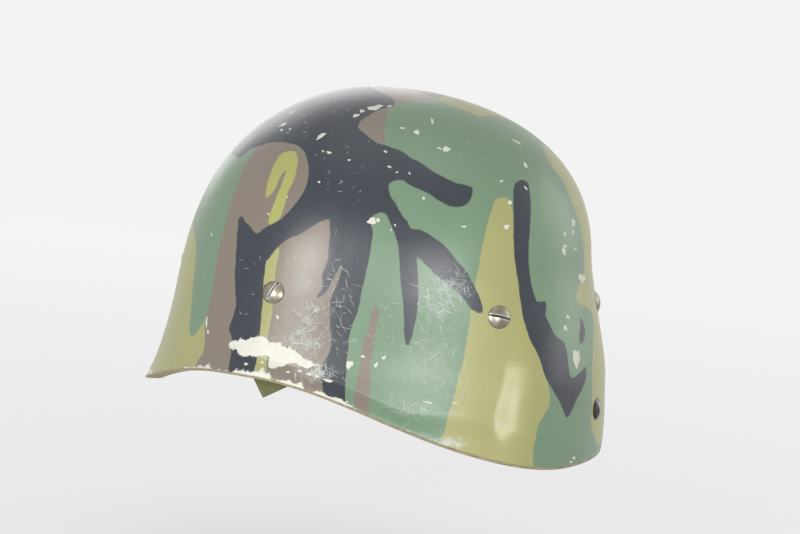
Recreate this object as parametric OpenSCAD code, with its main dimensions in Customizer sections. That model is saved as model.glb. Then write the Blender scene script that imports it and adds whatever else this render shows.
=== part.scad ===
// Moulded combat helmet with a webbing suspension, leather headband and chin strap.
// The wearer looks along -Y, +X is the wearer's left and +Z is up. Millimetres.
// The helmet stands on the middle of its brow and the two rear corners of its rim, on the plane z = 0.
// Its pieces are made upright, with the nape level, and are then tipped forward onto those three places.
// Angles round the shell start at the brow (0), pass the left ear (90) and end at the nape (180).

/* [Shell] */
// Height of the crown above the nape's rim
shell_h = 191; // [180:1:205]
// Half width of the shell body at the belt, where the dome starts
half_w = 107.8; // [104:0.2:114]
// Reach of the shell body from its centre line to the brow
len_front = 96.7; // [94:0.1:104]
// Reach of the shell body from its centre line to the nape
len_rear = 133.7; // [130:0.1:140]
// Height of the belt, where the dome starts
belt_z = 59; // [54:1:64]
// Height over and under the belt in which the dome's wall turns into the sloped wall
belt_soft = 14; // [10:1:16]
// Roundness of the plan in front, 2 is an ellipse
plan_n_front = 2.15; // [2:0.05:2.5]
// Roundness of the plan behind, 2 is an ellipse
plan_n_rear = 2.46; // [2.2:0.02:2.7]
// Fullness of the dome, 2 is an ellipse
dome_n = 3.04; // [2.8:0.02:3.2]
// Thickness of the laminate
wall = 8; // [7:0.5:9]
// Backward lean of the dome for each millimetre of height
lean = 0.12; // [0.08:0.01:0.14]
// Outward slope of the wall under the belt at the brow
draft_front = 0.13; // [0.1:0.01:0.2]
// Outward slope of the wall under the belt at the sides
draft_side = 0.06; // [0.03:0.01:0.1]
// Outward slope of the wall under the belt at the nape
draft_rear = 0.19; // [0.14:0.01:0.22]

/* [Ear and nape bulges] */
// How far the ear bulge stands out
ear_out = 8.6; // [6:0.2:11]
// Height where the ear bulge starts to fade
ear_low = 45; // [42:1:50]
// Height where the ear bulge has faded
ear_high = 95; // [90:1:100]
// How far the nape bulge stands out
nape_out = 15.2; // [12:0.2:17]
// Height where the nape bulge starts to fade
nape_low = 40; // [36:1:44]
// Height where the nape bulge has faded
nape_high = 108; // [102:1:112]

/* [Rim] */
// Height of the rim's arch over the ears
arch_h = 40.9; // [36:0.1:44]
// How far the rim droops at the middle of the brow
brow_droop = 25.5; // [20:0.5:29]
// Angle where the rim starts to fall to the nape
arch_from = 74; // [68:1:76]
// Angle where the rim has reached the nape height
arch_to = 154; // [148:1:158]
// Angle where the brow's droop ends
brow_to = 72; // [64:1:76]
// Flare of the brow beyond the wall
flare_front = 2.5; // [2:0.5:6]
// Flare of the rim at the ears
flare_side = 4.2; // [3:0.2:6]
// Turn-in of the rim at the nape
flare_rear = -1.4; // [-2:0.2:0]
// Height over which the flare fades
flare_h = 21; // [16:1:24]
// Thickness of the bead that seals the cut edge of the laminate
bead_t = 1; // [0.8:0.1:1.6]
// Depth of the flats that the bead stands on
flat_cut = 0.8; // [0.5:0.1:1]

/* [Fasteners] */
// Height of the brow and temple screws
screw_z_front = 84.3; // [82:0.5:86]
// Height of the two rear side screws and the rear centre screw
screw_z_rear = 80.8; // [79:0.5:83]
// Angle of the temple screws
temple_a = 74; // [70:1:76]
// Angle of the rear side screws
rear_a = 133.3; // [130:0.5:136]
// Angle of the nape screws
nape_a = 164.6; // [163:0.5:167]
// Height of the nape screws
nape_z = 27.6; // [26:0.5:30]
// Diameter of the domed screw heads
head_d = 12.7; // [11:0.1:14]
// Height of the screw heads
head_h = 2.6; // [2:0.1:3]
// Diameter of the screw shanks
shank_d = 4.2; // [4:0.1:4.5]
// Diameter of the post nuts' barrels
barrel_d = 7; // [6.5:0.1:7.5]
// Diameter of the post nuts' flanges
flange_d = 16; // [14:0.5:17]
// Diameter of the spacer washers
washer_d = 13; // [11:0.5:14]
// Thickness of the post nuts' flanges
flange_t = 1.4; // [1.2:0.1:1.6]
// Width of the screwdriver slots
slot_w = 1.6; // [1.2:0.1:2]

/* [Suspension] */
// Gap between the laminate and the suspension band
band_gap = 3; // [2.5:0.1:3.5]
// Thickness of the suspension webbing
web_t = 2; // [1.6:0.1:2.2]
// Lower edge of the suspension band
band_z = 71; // [70:1:72]
// Width of the suspension band
band_w = 26; // [25:1:27]
// Width of the crown straps
crown_w = 20; // [18:1:22]
// Thickness of the crown straps
crown_t = 1.5; // [1.2:0.1:1.8]
// Radius of the crown lace ring
lace_r = 24; // [22:1:28]
// Thickness of the crown lace
lace_d = 3.2; // [2.8:0.1:3.6]
// Room between the laminate's crown and the crown lace
crown_room = 21; // [19:1:25]

/* [Headband] */
// Gap between the suspension band and the headband at the sides
hb_gap_side = 8; // [7:0.5:9]
// Gap between the suspension band and the headband at the brow and the back of the head
hb_gap_end = 7; // [6:0.5:8]
// Thickness of the headband
hb_t = 2.6; // [2:0.1:3]
// Lower edge of the headband
hb_z = 50; // [49:0.5:52]
// Width of the headband
hb_w = 38; // [36:0.5:38]
// Roundness of the headband's plan
hb_n = 2.3; // [2.1:0.05:2.4]
// Width of the headband clips
clip_w = 12; // [10:0.5:13]
// Thickness of the headband clips
clip_t = 0.9; // [0.7:0.1:1.1]
// Length of a clip's leg on the suspension band
clip_leg_l = 14; // [12:0.5:15]
// Depth that a clip's hook reaches down the headband's outer face
clip_hook_l = 12; // [10:0.5:13]
// Width of the slider behind the head
slider_w = 34; // [30:1:38]
// Height of the slider
slider_h = 24; // [20:1:28]
// Thickness of the slider
slider_t = 2; // [1.6:0.1:2.4]

/* [Nape rest] */
// Width of the nape strap
nape_w = 20; // [18:1:22]
// Angle that the nape strap runs past its screws
nape_past = 6; // [5:0.5:7]
// Thickness of the nape pad
pad_t = 12; // [9:0.5:14]
// Height of the nape pad
pad_h = 42; // [38:1:44]
// How far the middle of the nape pad lies over the middle of the nape strap
pad_lift = 4; // [3:0.5:5]
// Gap between the nape pad and the flanges of the nape nuts
pad_gap = 2; // [1:0.5:4]

/* [Chin strap] */
// How far the foot of a hanger stands outside its head
hanger_out = 1.7; // [1.4:0.1:1.9]
// Width of a hanger's foot, round the pivot
foot_w = 16; // [15:0.5:17]
// Width of the end plates
end_w = 17; // [16:0.5:18]
// Thickness of the hanger and end plates
plate_t = 1.2; // [1:0.1:1.4]
// How far the strap pivots lie forward of the temple screws
pivot_fwd = 10; // [8:0.5:12]
// How far the strap pivots hang below the temple screws
pivot_drop = 31.3; // [30.5:0.1:32]
// Diameter of the pivot rivets
rivet_d = 5; // [4.6:0.1:5.4]
// Diameter of the rivet heads
rivet_head_d = 9; // [8:0.5:10]
// Thickness of the rivet heads
rivet_head_t = 1.4; // [1.2:0.1:1.6]
// Angle of the stowed strap behind the vertical
stow_a = 74; // [72:1:76]
// Width of the chin strap webbing
strap_w = 20; // [18:0.5:21]
// Thickness of the chin strap webbing
strap_t = 1.6; // [1.4:0.1:1.8]
// Depth of the strap from the pivots to the chin
strap_depth = 122; // [118:1:126]
// Length of the end plates below the pivot
plate_len = 22; // [20:0.5:23]
// Length of the ladder buckles along the strap
buckle_l = 18; // [16:0.5:19]
// Travel of the ladder buckles towards the pivot
buckle_up = 8; // [6:0.5:9]
// Travel of the ladder buckles towards the chin
buckle_down = 14; // [12:0.5:15]
// Length of the chin cup
cup_l = 58; // [54:1:59]
// Width of the chin cup
cup_w = 32; // [28:1:34]
// Travel of the chin cup to each side
cup_slide = 8; // [6:0.5:9]
// Thickness of the chin cup at its ends
cup_t = 6; // [5:0.5:7]
// Thickness of the chin cup at its middle
cup_floor = 2.5; // [2:0.1:3]
// Radius of the chin cup's corners
cup_corner = 8; // [6:0.5:10]
// Radius of the hollow in the chin cup
cup_r = 105; // [95:5:120]
// Length of the loose tail of the left strap, from its rivet
tail_len = 25; // [22:0.5:28]
// Angle of the tail behind the vertical
tail_a = 30; // [20:1:38]

/* [Hidden] */

$fn = 48;
// Angles between which the ear bulge rises and falls
EAR_A = [48, 75, 118, 136];
// Angles between which the nape bulge rises
NAPE_A = [117, 141];
// Angles of the flare's change from brow to side and from side to nape
FLARE_A = [20, 60, 110, 160];
// Height at which the lean is nothing
LEAN_Z = 60;
// Share of the flare that the inner face follows
FLARE_IN = 0.5;
// Stations round the shell and rows of facets on its dome, over its bulges and on its wall
AROUND = 72;
DOME_ROWS = 10;
BULGE_ROWS = 3;
WALL_ROWS = 8;
// Running clearance of holes and slots, and seat clearance of touching faces
RUN = 0.1;
SEAT = 0.15;
SLIDE = 0.3;
// Tightest bend of the wall, as a share of its half width
TIGHT = 0.75;
// Spot face under each screw head
SPOT_D = 0.6;
SPOT_DEPTH = 0.25;
// Angles of the crown straps and of the headband clips
CROWN_A = [37, 104, 157, -157, -104, -37];
CLIP_A = [19, 89, 145, -145, -89, -19];
// How far a clip's leg stands over the headband
CLIP_RISE = 4;
// Least length of the slider's bars
BAR = 3;
// Angle and height of each suspension screw, and the turn of its slot
SCREWS = [[0, screw_z_front, 30], [temple_a, screw_z_front, -22], [rear_a, screw_z_rear, 80],
    [180, screw_z_rear, 10], [-rear_a, screw_z_rear, 55], [-temple_a, screw_z_front, -40]];
NAPE_SCREWS = [[nape_a, nape_z, 15], [-nape_a, nape_z, 70]];

// Angle of the rear corners that the rim stands on
REST_A = 150;
// Turn that brings the brow and the rear corners down to one level, and the shift that follows it
brow_tip = at(0, rim_z(0));
rear_tip = at(REST_A, rim_z(REST_A), wall);
tip_a = atan2(brow_tip[2] - rear_tip[2], rear_tip[1] - brow_tip[1]);
mid_y = -(tipped(brow_tip)[1] + max([for (z = [0:flare_h]) tipped(at(180, z))[1]])) / 2;
lift = -tipped(rear_tip)[2];
// Faces of the suspension band and of the nape strap, as depths under the shell's outer face
band_in = wall + band_gap + web_t;
nape_in = wall + 2 * SEAT + strap_t;
band_mid_z = band_z + band_w / 2;
// Middle and half sizes of the headband's plan
hb_y = (at(0, band_mid_z, band_in)[1] + at(180, band_mid_z, band_in)[1]) / 2;
hb_half_w = at(100, band_mid_z, band_in)[0] - hb_gap_side;
hb_half_l = (at(180, band_mid_z, band_in)[1] - at(0, band_mid_z, band_in)[1]) / 2 - hb_gap_end;
crown = [0, lean * (shell_h - LEAN_Z), shell_h - wall - crown_room];
// Half of the angle that the nape pad covers
pad_half_a = 180 - nape_a - (flange_d / 2 + pad_gap) / len_rear * 180 / PI;
// Width of a hanger's head, under the flange of its nut
hanger_w = flange_d + 2;
// Foot of the hangers, pivot of the strap and inner face of the strap's parallel sides
temple = at(temple_a, screw_z_front, band_in);
hanger_x = temple[0] + hanger_out;
pivot_y = temple[1] - pivot_fwd;
pivot_z = screw_z_front - pivot_drop;
strap_x = hanger_x - plate_t - SLIDE - strap_t - SEAT;
// Places along the strap, from the pivot: buckle, end of the parallel side, run under the chin
BEND_CUT = 8;
buckle_s = plate_len + buckle_up + buckle_l / 2 + 1;
side_len = buckle_s + buckle_l / 2 + buckle_down + 1 + BEND_CUT;
chin_half = cup_l / 2 + cup_slide + 1;

function flat_list(l) = [for (a = l) each a];
function share(a, b, x) = let (t = min(1, max(0, (x - a) / (b - a)))) t * t * (3 - 2 * t);
function unit(v) = v / norm(v);

// A point after the turn onto the three places that the helmet stands on
function tipped(p) = [p[0], p[1] * cos(tip_a) - p[2] * sin(tip_a), p[1] * sin(tip_a) + p[2] * cos(tip_a)];

// Height of the visible rim line
function rim_z(a) = let (d = abs(a))
    arch_h * (1 - share(arch_from, arch_to, d)) - brow_droop * (1 - share(0, brow_to, d));

// Plan radius of the shell body, drawn in by inset
function plan_r(a, inset) = let (c = cos(a), s = abs(sin(a)), n = c > 0 ? plan_n_front : plan_n_rear,
    l = (c > 0 ? len_front : len_rear) - inset, w = half_w - inset)
    pow(pow(s / w, n) + pow(abs(c) / l, n), -1 / n);

function draft(a) = let (c = cos(a))
    draft_side + ((c > 0 ? draft_front : draft_rear) - draft_side) * c * c;

function ear(a, z) = let (d = abs(a)) ear_out * share(EAR_A[0], EAR_A[1], d)
    * (1 - share(EAR_A[2], EAR_A[3], d)) * (1 - share(ear_low, ear_high, z));

function nape(a, z) = nape_out * share(NAPE_A[0], NAPE_A[1], abs(a))
    * (1 - share(nape_low, nape_high, z));

function flare(a, z, inset) = let (d = abs(a), f = 1 - share(FLARE_A[0], FLARE_A[1], d),
    r = share(FLARE_A[2], FLARE_A[3], d), up = min(1, max(0, (z - rim_z(a)) / flare_h)))
    (flare_front * f + flare_side * (1 - f) * (1 - r) + flare_rear * r)
    * (inset > 0 ? FLARE_IN : 1) * (1 - up) * (1 - up);

// Fall below the belt that the sloped wall counts, with a soft start
function fall(z) = let (w = belt_z - z)
    abs(w) < belt_soft ? pow(w + belt_soft, 2) / (4 * belt_soft) : max(0, w);

// Share of the plan radius that the dome keeps at height z
function dome(z, inset) = z <= belt_z ? 1
    : sqrt(max(0, 1 - pow((z - belt_z) / (shell_h - inset - belt_z), dome_n)));

function radius(a, z, inset) = plan_r(a, inset) * dome(z, inset)
    + draft(a) * fall(z) + ear(a, z) + nape(a, z) + flare(a, z, inset);

// A point of the shell's face drawn in by inset
function at(a, z, inset = 0) = let (r = radius(a, z, inset))
    [r * sin(a), -r * cos(a) + lean * (z - LEAN_Z), z];

function dome_z(k, inset) = belt_z + (shell_h - inset - belt_z) * pow(cos(90 * k / DOME_ROWS), 2 / dome_n);

// Outward normal of the outer face
function normal(a, z) = unit(cross(at(a + 0.5, z) - at(a - 0.5, z), at(a, z + 0.5) - at(a, z - 0.5)));

// Angle that a width covers at a place of the outer face
function cover(a, z, w) = w / radius(a, z, 0) * 180 / PI;

// Depths under the outer face's tangent plane that a drawn-in face has, at the middle and the edge
// of a disc of width w
function depths(a, z, inset, w) = let (n = normal(a, z), half_a = cover(a, z, w / 2))
    [for (t = [-30:30:330]) let (far = t < 0 ? 0 : 1)
        (at(a, z) - at(a + far * half_a * cos(t), z + far * w / 2 * sin(t), inset)) * n];

// Room that a flat piece of width w needs on the inner side of the curved webbing
function dish(w) = w * w / 8 / (TIGHT * (half_w - band_in));

function turn(j) = -180 + 360 * j / AROUND;

// Rings of one face of the shell, from the crown down to the rim, closer over the bulges
function rings(inset) = let (knee = dome_z(DOME_ROWS - 1, inset)) [
    for (z = concat([for (k = [1:DOME_ROWS - 1]) dome_z(k, inset)],
        [for (k = [1:BULGE_ROWS]) knee + (belt_z - knee) * k / BULGE_ROWS]))
        [for (j = [0:AROUND - 1]) at(turn(j), z, inset)],
    for (k = [1:WALL_ROWS]) [for (j = [0:AROUND - 1]) let (a = turn(j), t = 1 - pow(1 - k / WALL_ROWS, 1.6))
        at(a, belt_z + (rim_z(a) + bead_t - belt_z) * t, inset)]];

function reversed(l) = [for (i = [len(l) - 1:-1:0]) l[i]];

// Triangles between station j and the next, for stations of m points
function skin(j, next, m) = [for (k = [0:m - 1]) let (l = (k + 1) % m) each [
    [j * m + k, next * m + k, next * m + l], [j * m + k, next * m + l, j * m + l]]];

// A closed or open run of stations; each station goes down one face and back up the other
module run(stations, closed) {
    n = len(stations);
    m = len(stations[0]);
    last = (n - 1) * m;
    sides = flat_list([for (j = [0:n - (closed ? 1 : 2)]) skin(j, (j + 1) % n, m)]);
    caps = closed ? [] : flat_list([for (k = [0:m / 2 - 2]) [
        [k, k + 1, m - 2 - k], [k, m - 2 - k, m - 1 - k],
        [last + k, last + m - 2 - k, last + k + 1], [last + k, last + m - 1 - k, last + m - 2 - k]]]);
    polyhedron(flat_list(stations), concat(sides, caps));
}

// From the upright making to the helmet's stand on its brow and rear corners
module stand() {
    translate([0, mid_y, lift]) rotate([tip_a, 0, 0]) children();
}

// A place on the shell's outer face: +Z points out of the shell and +X points down
module on_shell(a, z) {
    n = normal(a, z);
    translate(at(a, z)) rotate([0, acos(n[2]), atan2(n[1], n[0])]) children();
}

module shell_skin() {
    outer = rings(0);
    inner = reversed(rings(wall));
    all = concat(outer, inner);
    n = len(all);
    m = AROUND;
    top = n * m;
    points = concat(flat_list(all), [at(0, shell_h), at(0, shell_h - wall, wall)]);
    caps = flat_list([for (j = [0:m - 1]) let (i = (j + 1) % m)
        [[top, i, j], [top + 1, (n - 1) * m + j, (n - 1) * m + i]]]);
    sides = flat_list([for (k = [0:n - 2], j = [0:m - 1]) let (i = (j + 1) % m)
        [[k * m + j, k * m + i, (k + 1) * m + j], [k * m + i, (k + 1) * m + i, (k + 1) * m + j]]]);
    polyhedron(points, concat(caps, sides));
}

module shell() {
    color([0.36, 0.47, 0.38]) difference() {
        shell_skin();
        for (s = concat(SCREWS, NAPE_SCREWS)) on_shell(s[0], s[1]) {
            translate([0, 0, -2 * wall]) cylinder(d = barrel_d + 2 * RUN, h = 3 * wall);
            translate([0, 0, -SPOT_DEPTH]) cylinder(d = head_d + SPOT_D, h = wall);
        }
    }
}

module edge_bead() {
    color([0.52, 0.46, 0.36]) difference() {
        stand() run([for (j = [0:AROUND - 1]) let (a = turn(j), z = rim_z(a), top = z + bead_t - SEAT,
            low = [0, 0, -flat_cut])
            [at(a, top), at(a, z), at(a, z) + low,
                at(a, z, wall) + low, at(a, z, wall), at(a, top, wall)]], true);
        translate([-2 * half_w, -2 * len_rear, -wall]) cube([4 * half_w, 4 * len_rear, wall]);
    }
}

// A domed, slotted screw whose head rests on the spot face
module screw(length, slot_turn) {
    ball = (head_d * head_d / 4 + head_h * head_h) / (2 * head_h);
    translate([0, 0, -SPOT_DEPTH]) difference() {
        intersection() {
            translate([0, 0, head_h - ball]) sphere(r = ball, $fn = 96);
            cylinder(d = head_d, h = head_h + 1);
        }
        rotate(slot_turn) translate([-head_d, -slot_w / 2, head_h / 2]) cube([2 * head_d, slot_w, head_h]);
    }
    translate([0, 0, -length]) cylinder(d = shank_d, h = length - SPOT_DEPTH + 0.2);
}

// A post nut: its flange grips at the stated depth, its barrel fills the hole
module post_nut(grip) {
    difference() {
        union() {
            translate([0, 0, -grip - flange_t]) cylinder(d = flange_d, h = flange_t);
            translate([0, 0, -grip - 0.1]) cylinder(d = barrel_d, h = grip - 1.5);
        }
        translate([0, 0, -grip - 2 * flange_t]) cylinder(d = shank_d + 2 * RUN, h = grip + 3 * flange_t);
    }
}

// Depth of the hanger's face and of the nuts' faces under the shell's outer face
function hanger_face(a, z) = max(depths(a, z, band_in, hanger_w)) + SEAT;
function at_temple(s) = abs(s[0]) == temple_a;
function grip(s) = at_temple(s) ? hanger_face(s[0], s[1]) + plate_t + SEAT / 3
    : max(depths(s[0], s[1], band_in, flange_d)) + SEAT;
function nape_grip(s) = max(depths(s[0], s[1], nape_in, flange_d)) + SEAT;

module suspension_screws() {
    color([0.72, 0.71, 0.68]) for (s = SCREWS) on_shell(s[0], s[1]) screw(grip(s) + flange_t, s[2]);
}

module nape_screws() {
    color([0.3, 0.3, 0.31]) for (s = NAPE_SCREWS) on_shell(s[0], s[1]) screw(nape_grip(s) + flange_t, s[2]);
}

module suspension_nuts() {
    color([0.6, 0.58, 0.5]) for (s = SCREWS) on_shell(s[0], s[1]) post_nut(grip(s));
}

module nape_nuts() {
    color([0.6, 0.58, 0.5]) for (s = NAPE_SCREWS) on_shell(s[0], s[1]) post_nut(nape_grip(s));
}

module spacer_washers() {
    color([0.15, 0.15, 0.15]) for (s = SCREWS) on_shell(s[0], s[1]) {
        low = min(depths(s[0], s[1], wall + band_gap, washer_d)) - SEAT;
        high = max(depths(s[0], s[1], wall, washer_d)) + 2 * SEAT;
        translate([0, 0, -low]) difference() {
            cylinder(d = washer_d, h = low - high);
            translate([0, 0, -1]) cylinder(d = barrel_d + 2 * RUN, h = band_gap + 2);
        }
    }
}

module suspension_band() {
    levels = [band_z + band_w, band_mid_z, band_z];
    color([0.42, 0.42, 0.3]) difference() {
        run([for (j = [0:AROUND - 1]) let (a = turn(j)) concat(
            [for (z = levels) at(a, z, wall + band_gap)],
            [for (z = reversed(levels)) at(a, z, band_in)])], true);
        for (s = SCREWS) on_shell(s[0], s[1])
            translate([0, 0, -2 * band_in]) cylinder(d = barrel_d + 2 * RUN, h = 2 * band_in);
    }
}

// Middle of a crown strap's thickness where it lies flat on the band, square to the direction out
function strap_seat(a, z, out) = let (p = at(a, z, band_in), half_a = cover(a, z, crown_w / 2),
    room = max([for (t = [-1:0.5:1]) (p - at(a + t * half_a, z, band_in)) * out]))
    p - (room + 2 * SEAT + crown_t / 2) * out;

// Crown strap: down the inside of the band, then in an arc to the crown lace
module crown_strap(a) {
    face = at(a, band_z + band_w, band_in);
    out = unit([face[0] - crown[0], face[1] - crown[1], 0]);
    side = [-out[1], out[0], 0];
    low = [for (z = [band_z + 3, band_mid_z]) strap_seat(a, z, out)];
    knee = strap_seat(a, band_z + band_w, out);
    reach = norm([knee[0] - crown[0], knee[1] - crown[1]]) - lace_r;
    rise = crown[2] - knee[2];
    path = concat(low, [for (i = [0:10]) let (t = 9 * i)
        knee + [0, 0, rise * sin(t)] - out * reach * (1 - cos(t))]);
    n = len(path);
    color([0.42, 0.42, 0.3]) run([for (i = [0:n - 1]) let (
        along = unit(path[min(n - 1, i + 1)] - path[max(0, i - 1)]), face = unit(cross(side, along)),
        h = face * crown_t / 2, w = side * crown_w / 2)
        [path[i] + h - w, path[i] + h + w, path[i] - h + w, path[i] - h - w]], false);
}

// Lace ring that the six crown straps end on, with its knot
module crown_lace() {
    color([0.5, 0.48, 0.36]) translate(crown) {
        ring_r = lace_r - lace_d / 2 - 2 * SEAT;
        rotate_extrude() translate([ring_r, 0]) circle(d = lace_d);
        translate([0, ring_r, 0]) rotate([0, 90, 0]) cylinder(d = 2 * lace_d, h = 6, center = true);
    }
}

// Plan of the headband and its outward direction, by angle about its own centre
function hb_at(a, inset) = let (w = hb_half_w - inset, l = hb_half_l - inset,
    r = pow(pow(abs(sin(a)) / w, hb_n) + pow(abs(cos(a)) / l, hb_n), -1 / hb_n))
    [r * sin(a), hb_y - r * cos(a)];
function hb_face(a) = let (d = hb_at(a + 0.5, 0) - hb_at(a - 0.5, 0)) atan2(-d[0], d[1]);
function hb_plan(inset) = [for (j = [0:AROUND - 1]) hb_at(turn(j), inset)];

module headband() {
    color([0.3, 0.2, 0.12]) translate([0, 0, hb_z]) linear_extrude(hb_w) difference() {
        polygon(hb_plan(0));
        polygon(hb_plan(hb_t));
    }
}

// Places of a clip's leg on the suspension band and of its hook on the headband
module clip_leg(p, n) {
    translate(p) rotate([0, acos(n[2]) - 90, atan2(n[1], n[0])]) children();
}

module clip_hook(q, z, face) {
    translate([q[0], q[1], z]) rotate(face) children();
}

// Spring clips that carry the headband on the suspension band
module headband_clips() {
    top = hb_z + hb_w;
    room = hb_t + 6 * SEAT;
    color([0.35, 0.35, 0.34]) for (a = CLIP_A) {
        z = top + CLIP_RISE;
        p = at(a, z, band_in + dish(clip_w) + SEAT);
        n = normal(a, z);
        q = hb_at(atan2(p[0], hb_y - p[1]), 0);
        face = hb_face(atan2(p[0], hb_y - p[1]));
        clip_leg(p, n) translate([-clip_t, -clip_w / 2, 2 - clip_leg_l])
            cube([clip_t, clip_w, clip_leg_l]);
        hull() {
            clip_leg(p, n) translate([-0.9 * clip_t, -0.45 * clip_w, 0.6])
                cube([0.8 * clip_t, 0.9 * clip_w, 1]);
            clip_hook(q, top, face)
                translate([3 * SEAT + 0.1 * clip_t, -0.45 * clip_w, SEAT + 0.1 * clip_t])
                    cube([0.8 * clip_t, 0.9 * clip_w, 0.8 * clip_t]);
        }
        clip_hook(q, top, face) {
            translate([3 * SEAT, -clip_w / 2, -clip_hook_l])
                cube([clip_t, clip_w, clip_hook_l + clip_t + SEAT]);
            translate([3 * SEAT - room - clip_t, -clip_w / 2, SEAT])
                cube([room + 2 * clip_t, clip_w, clip_t]);
            translate([3 * SEAT - room - clip_t, -clip_w / 2, -0.75 * clip_hook_l])
                cube([clip_t, clip_w, 0.75 * clip_hook_l + SEAT + clip_t]);
        }
    }
}

// Slider that closes the two ends of the headband behind the head
module headband_adjuster() {
    q = hb_at(180, -SEAT);
    slot = [0.15 * slider_w, 2 * slider_t, slider_h - 2 * BAR];
    color([0.25, 0.25, 0.24]) translate([0, q[1] + slider_t / 2, hb_z + hb_w / 2]) difference() {
        cube([slider_w, slider_t, slider_h], center = true);
        for (x = [-1, 1]) translate([x * 0.26 * slider_w, 0, 0]) cube(slot, center = true);
    }
}

module nape_strap() {
    n = 14;
    half = 180 - nape_a + nape_past;
    levels = [nape_z + nape_w / 2, nape_z, nape_z - nape_w / 2];
    color([0.42, 0.42, 0.3]) difference() {
        run([for (j = [0:n]) let (a = 180 - half + 2 * half * j / n, b = a > 180 ? a - 360 : a) concat(
            [for (z = levels) at(b, z, wall + 2 * SEAT)],
            [for (z = reversed(levels)) at(b, z, nape_in)])], false);
        for (s = NAPE_SCREWS) on_shell(s[0], s[1])
            translate([0, 0, -2 * nape_in]) cylinder(d = barrel_d + 2 * RUN, h = 2 * nape_in);
    }
}

// Nape pad: swells in the middle, draws in towards its edges
module nape_pad() {
    n = 24;
    rows = 12;
    mid = nape_z + pad_lift;
    color([0.3, 0.2, 0.12]) run([for (j = [0:n]) let (u = 2 * j / n - 1, a = 180 + pad_half_a * u,
        b = a > 180 ? a - 360 : a, swell = pow(1 - pow(abs(u), 3), 0.5)) concat(
        [for (k = [0:rows]) let (v = 2 * k / rows - 1) at(b, mid - pad_h / 2 * v, nape_in + SEAT)],
        [for (k = [rows:-1:0]) let (v = 2 * k / rows - 1, s = swell * pow(1 - pow(abs(v), 3), 0.5))
            at(b, mid - pad_h / 2 * v, nape_in + SEAT + pad_t * (0.2 + 0.8 * s))])], false);
}

// Bent bracket under a temple nut; side is 1 on the left and -1 on the right
module hanger(side) {
    deep = hanger_face(temple_a, screw_z_front) + plate_t;
    color([0.33, 0.33, 0.32]) mirror([side > 0 ? 0 : 1, 0, 0]) difference() {
        union() {
            on_shell(temple_a, screw_z_front) translate([0, 0, -deep]) {
                cylinder(d = hanger_w, h = plate_t);
                translate([0, -hanger_w / 4, 0]) cube([hanger_w / 2 + 4, hanger_w / 2, plate_t]);
            }
            hull() {
                on_shell(temple_a, screw_z_front)
                    translate([hanger_w / 2 + 1, -0.22 * hanger_w, 0.1 * plate_t - deep])
                        cube([2, 0.44 * hanger_w, 0.8 * plate_t]);
                translate([hanger_x + 0.1 * plate_t, pivot_y - 0.44 * foot_w, pivot_z + 0.44 * foot_w])
                    cube([0.8 * plate_t, 0.88 * foot_w, 2]);
            }
            translate([hanger_x, pivot_y, pivot_z]) rotate([0, 90, 0]) cylinder(d = foot_w, h = plate_t);
            translate([hanger_x, pivot_y - foot_w / 2, pivot_z]) cube([plate_t, foot_w, 0.6 * foot_w]);
        }
        on_shell(temple_a, screw_z_front) translate([0, 0, -deep - plate_t])
            cylinder(d = barrel_d + 2 * RUN, h = 4 * plate_t);
        translate([hanger_x - 1, pivot_y, pivot_z]) rotate([0, 90, 0])
            cylinder(d = rivet_d, h = plate_t + 2);
    }
}

// Pivot rivets; the left one also holds the strap's loose tail
module strap_rivets() {
    inner = hanger_x - SLIDE - plate_t - SLIDE;
    color([0.55, 0.5, 0.38]) for (side = [1, -1]) mirror([side > 0 ? 0 : 1, 0, 0])
        translate([0, pivot_y, pivot_z]) rotate([0, 90, 0]) {
            outer = hanger_x + plate_t + (side > 0 ? strap_t : 0);
            translate([0, 0, inner]) cylinder(d = rivet_d, h = outer - inner);
            translate([0, 0, inner - rivet_head_t]) cylinder(d = rivet_head_d, h = rivet_head_t);
            translate([0, 0, outer]) cylinder(d = rivet_head_d, h = rivet_head_t);
        }
}

module strap_tail() {
    color([0.36, 0.35, 0.25]) translate([hanger_x + plate_t, pivot_y, pivot_z]) rotate([tail_a, 0, 0])
        difference() {
            union() {
                translate([0, -strap_w / 2, -tail_len]) cube([strap_t, strap_w, tail_len - rivet_d]);
                translate([0, -rivet_d - 1, -tail_len / 2]) cube([strap_t, 2 * rivet_d + 2, tail_len / 2]);
                rotate([0, 90, 0]) cylinder(r = rivet_d + 1, h = strap_t);
            }
            translate([-1, 0, 0]) rotate([0, 90, 0]) cylinder(d = rivet_d, h = strap_t + 2);
        }
}

// The strap's own frame: the pivot axis is its X axis and the strap hangs along -Z
module strap_frame() {
    translate([0, pivot_y, pivot_z]) rotate([stow_a, 0, 0]) children();
}

module end_plate(side) {
    color([0.33, 0.33, 0.32]) mirror([side > 0 ? 0 : 1, 0, 0]) strap_frame()
        translate([hanger_x - SLIDE - plate_t, 0, 0]) difference() {
            union() {
                rotate([0, 90, 0]) cylinder(d = end_w, h = plate_t);
                translate([0, -end_w / 2, -plate_len]) cube([plate_t, end_w, plate_len]);
            }
            translate([-1, 0, 0]) rotate([0, 90, 0]) cylinder(d = rivet_d + 2 * RUN, h = plate_t + 2);
        }
}

// Points of a corner rounded over the stated distance
function bend(before, corner, after, cut) = let (p = corner + unit(before - corner) * cut,
    q = corner + unit(after - corner) * cut)
    [for (i = [0:6]) let (t = i / 6) (1 - t) * (1 - t) * p + 2 * t * (1 - t) * corner + t * t * q];

// Middle line of the strap in its frame, from the left end plate round the chin to the right one
function strap_line() = let (top = [strap_x + strap_t / 2, -8], knee = [top[0], -side_len],
    chin = [chin_half + BEND_CUT, -strap_depth], half = concat([top], bend(top, knee, chin, BEND_CUT),
    bend(knee, chin, [0, -strap_depth], BEND_CUT))) concat(half, reversed([for (p = half) [-p[0], p[1]]]));

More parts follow.
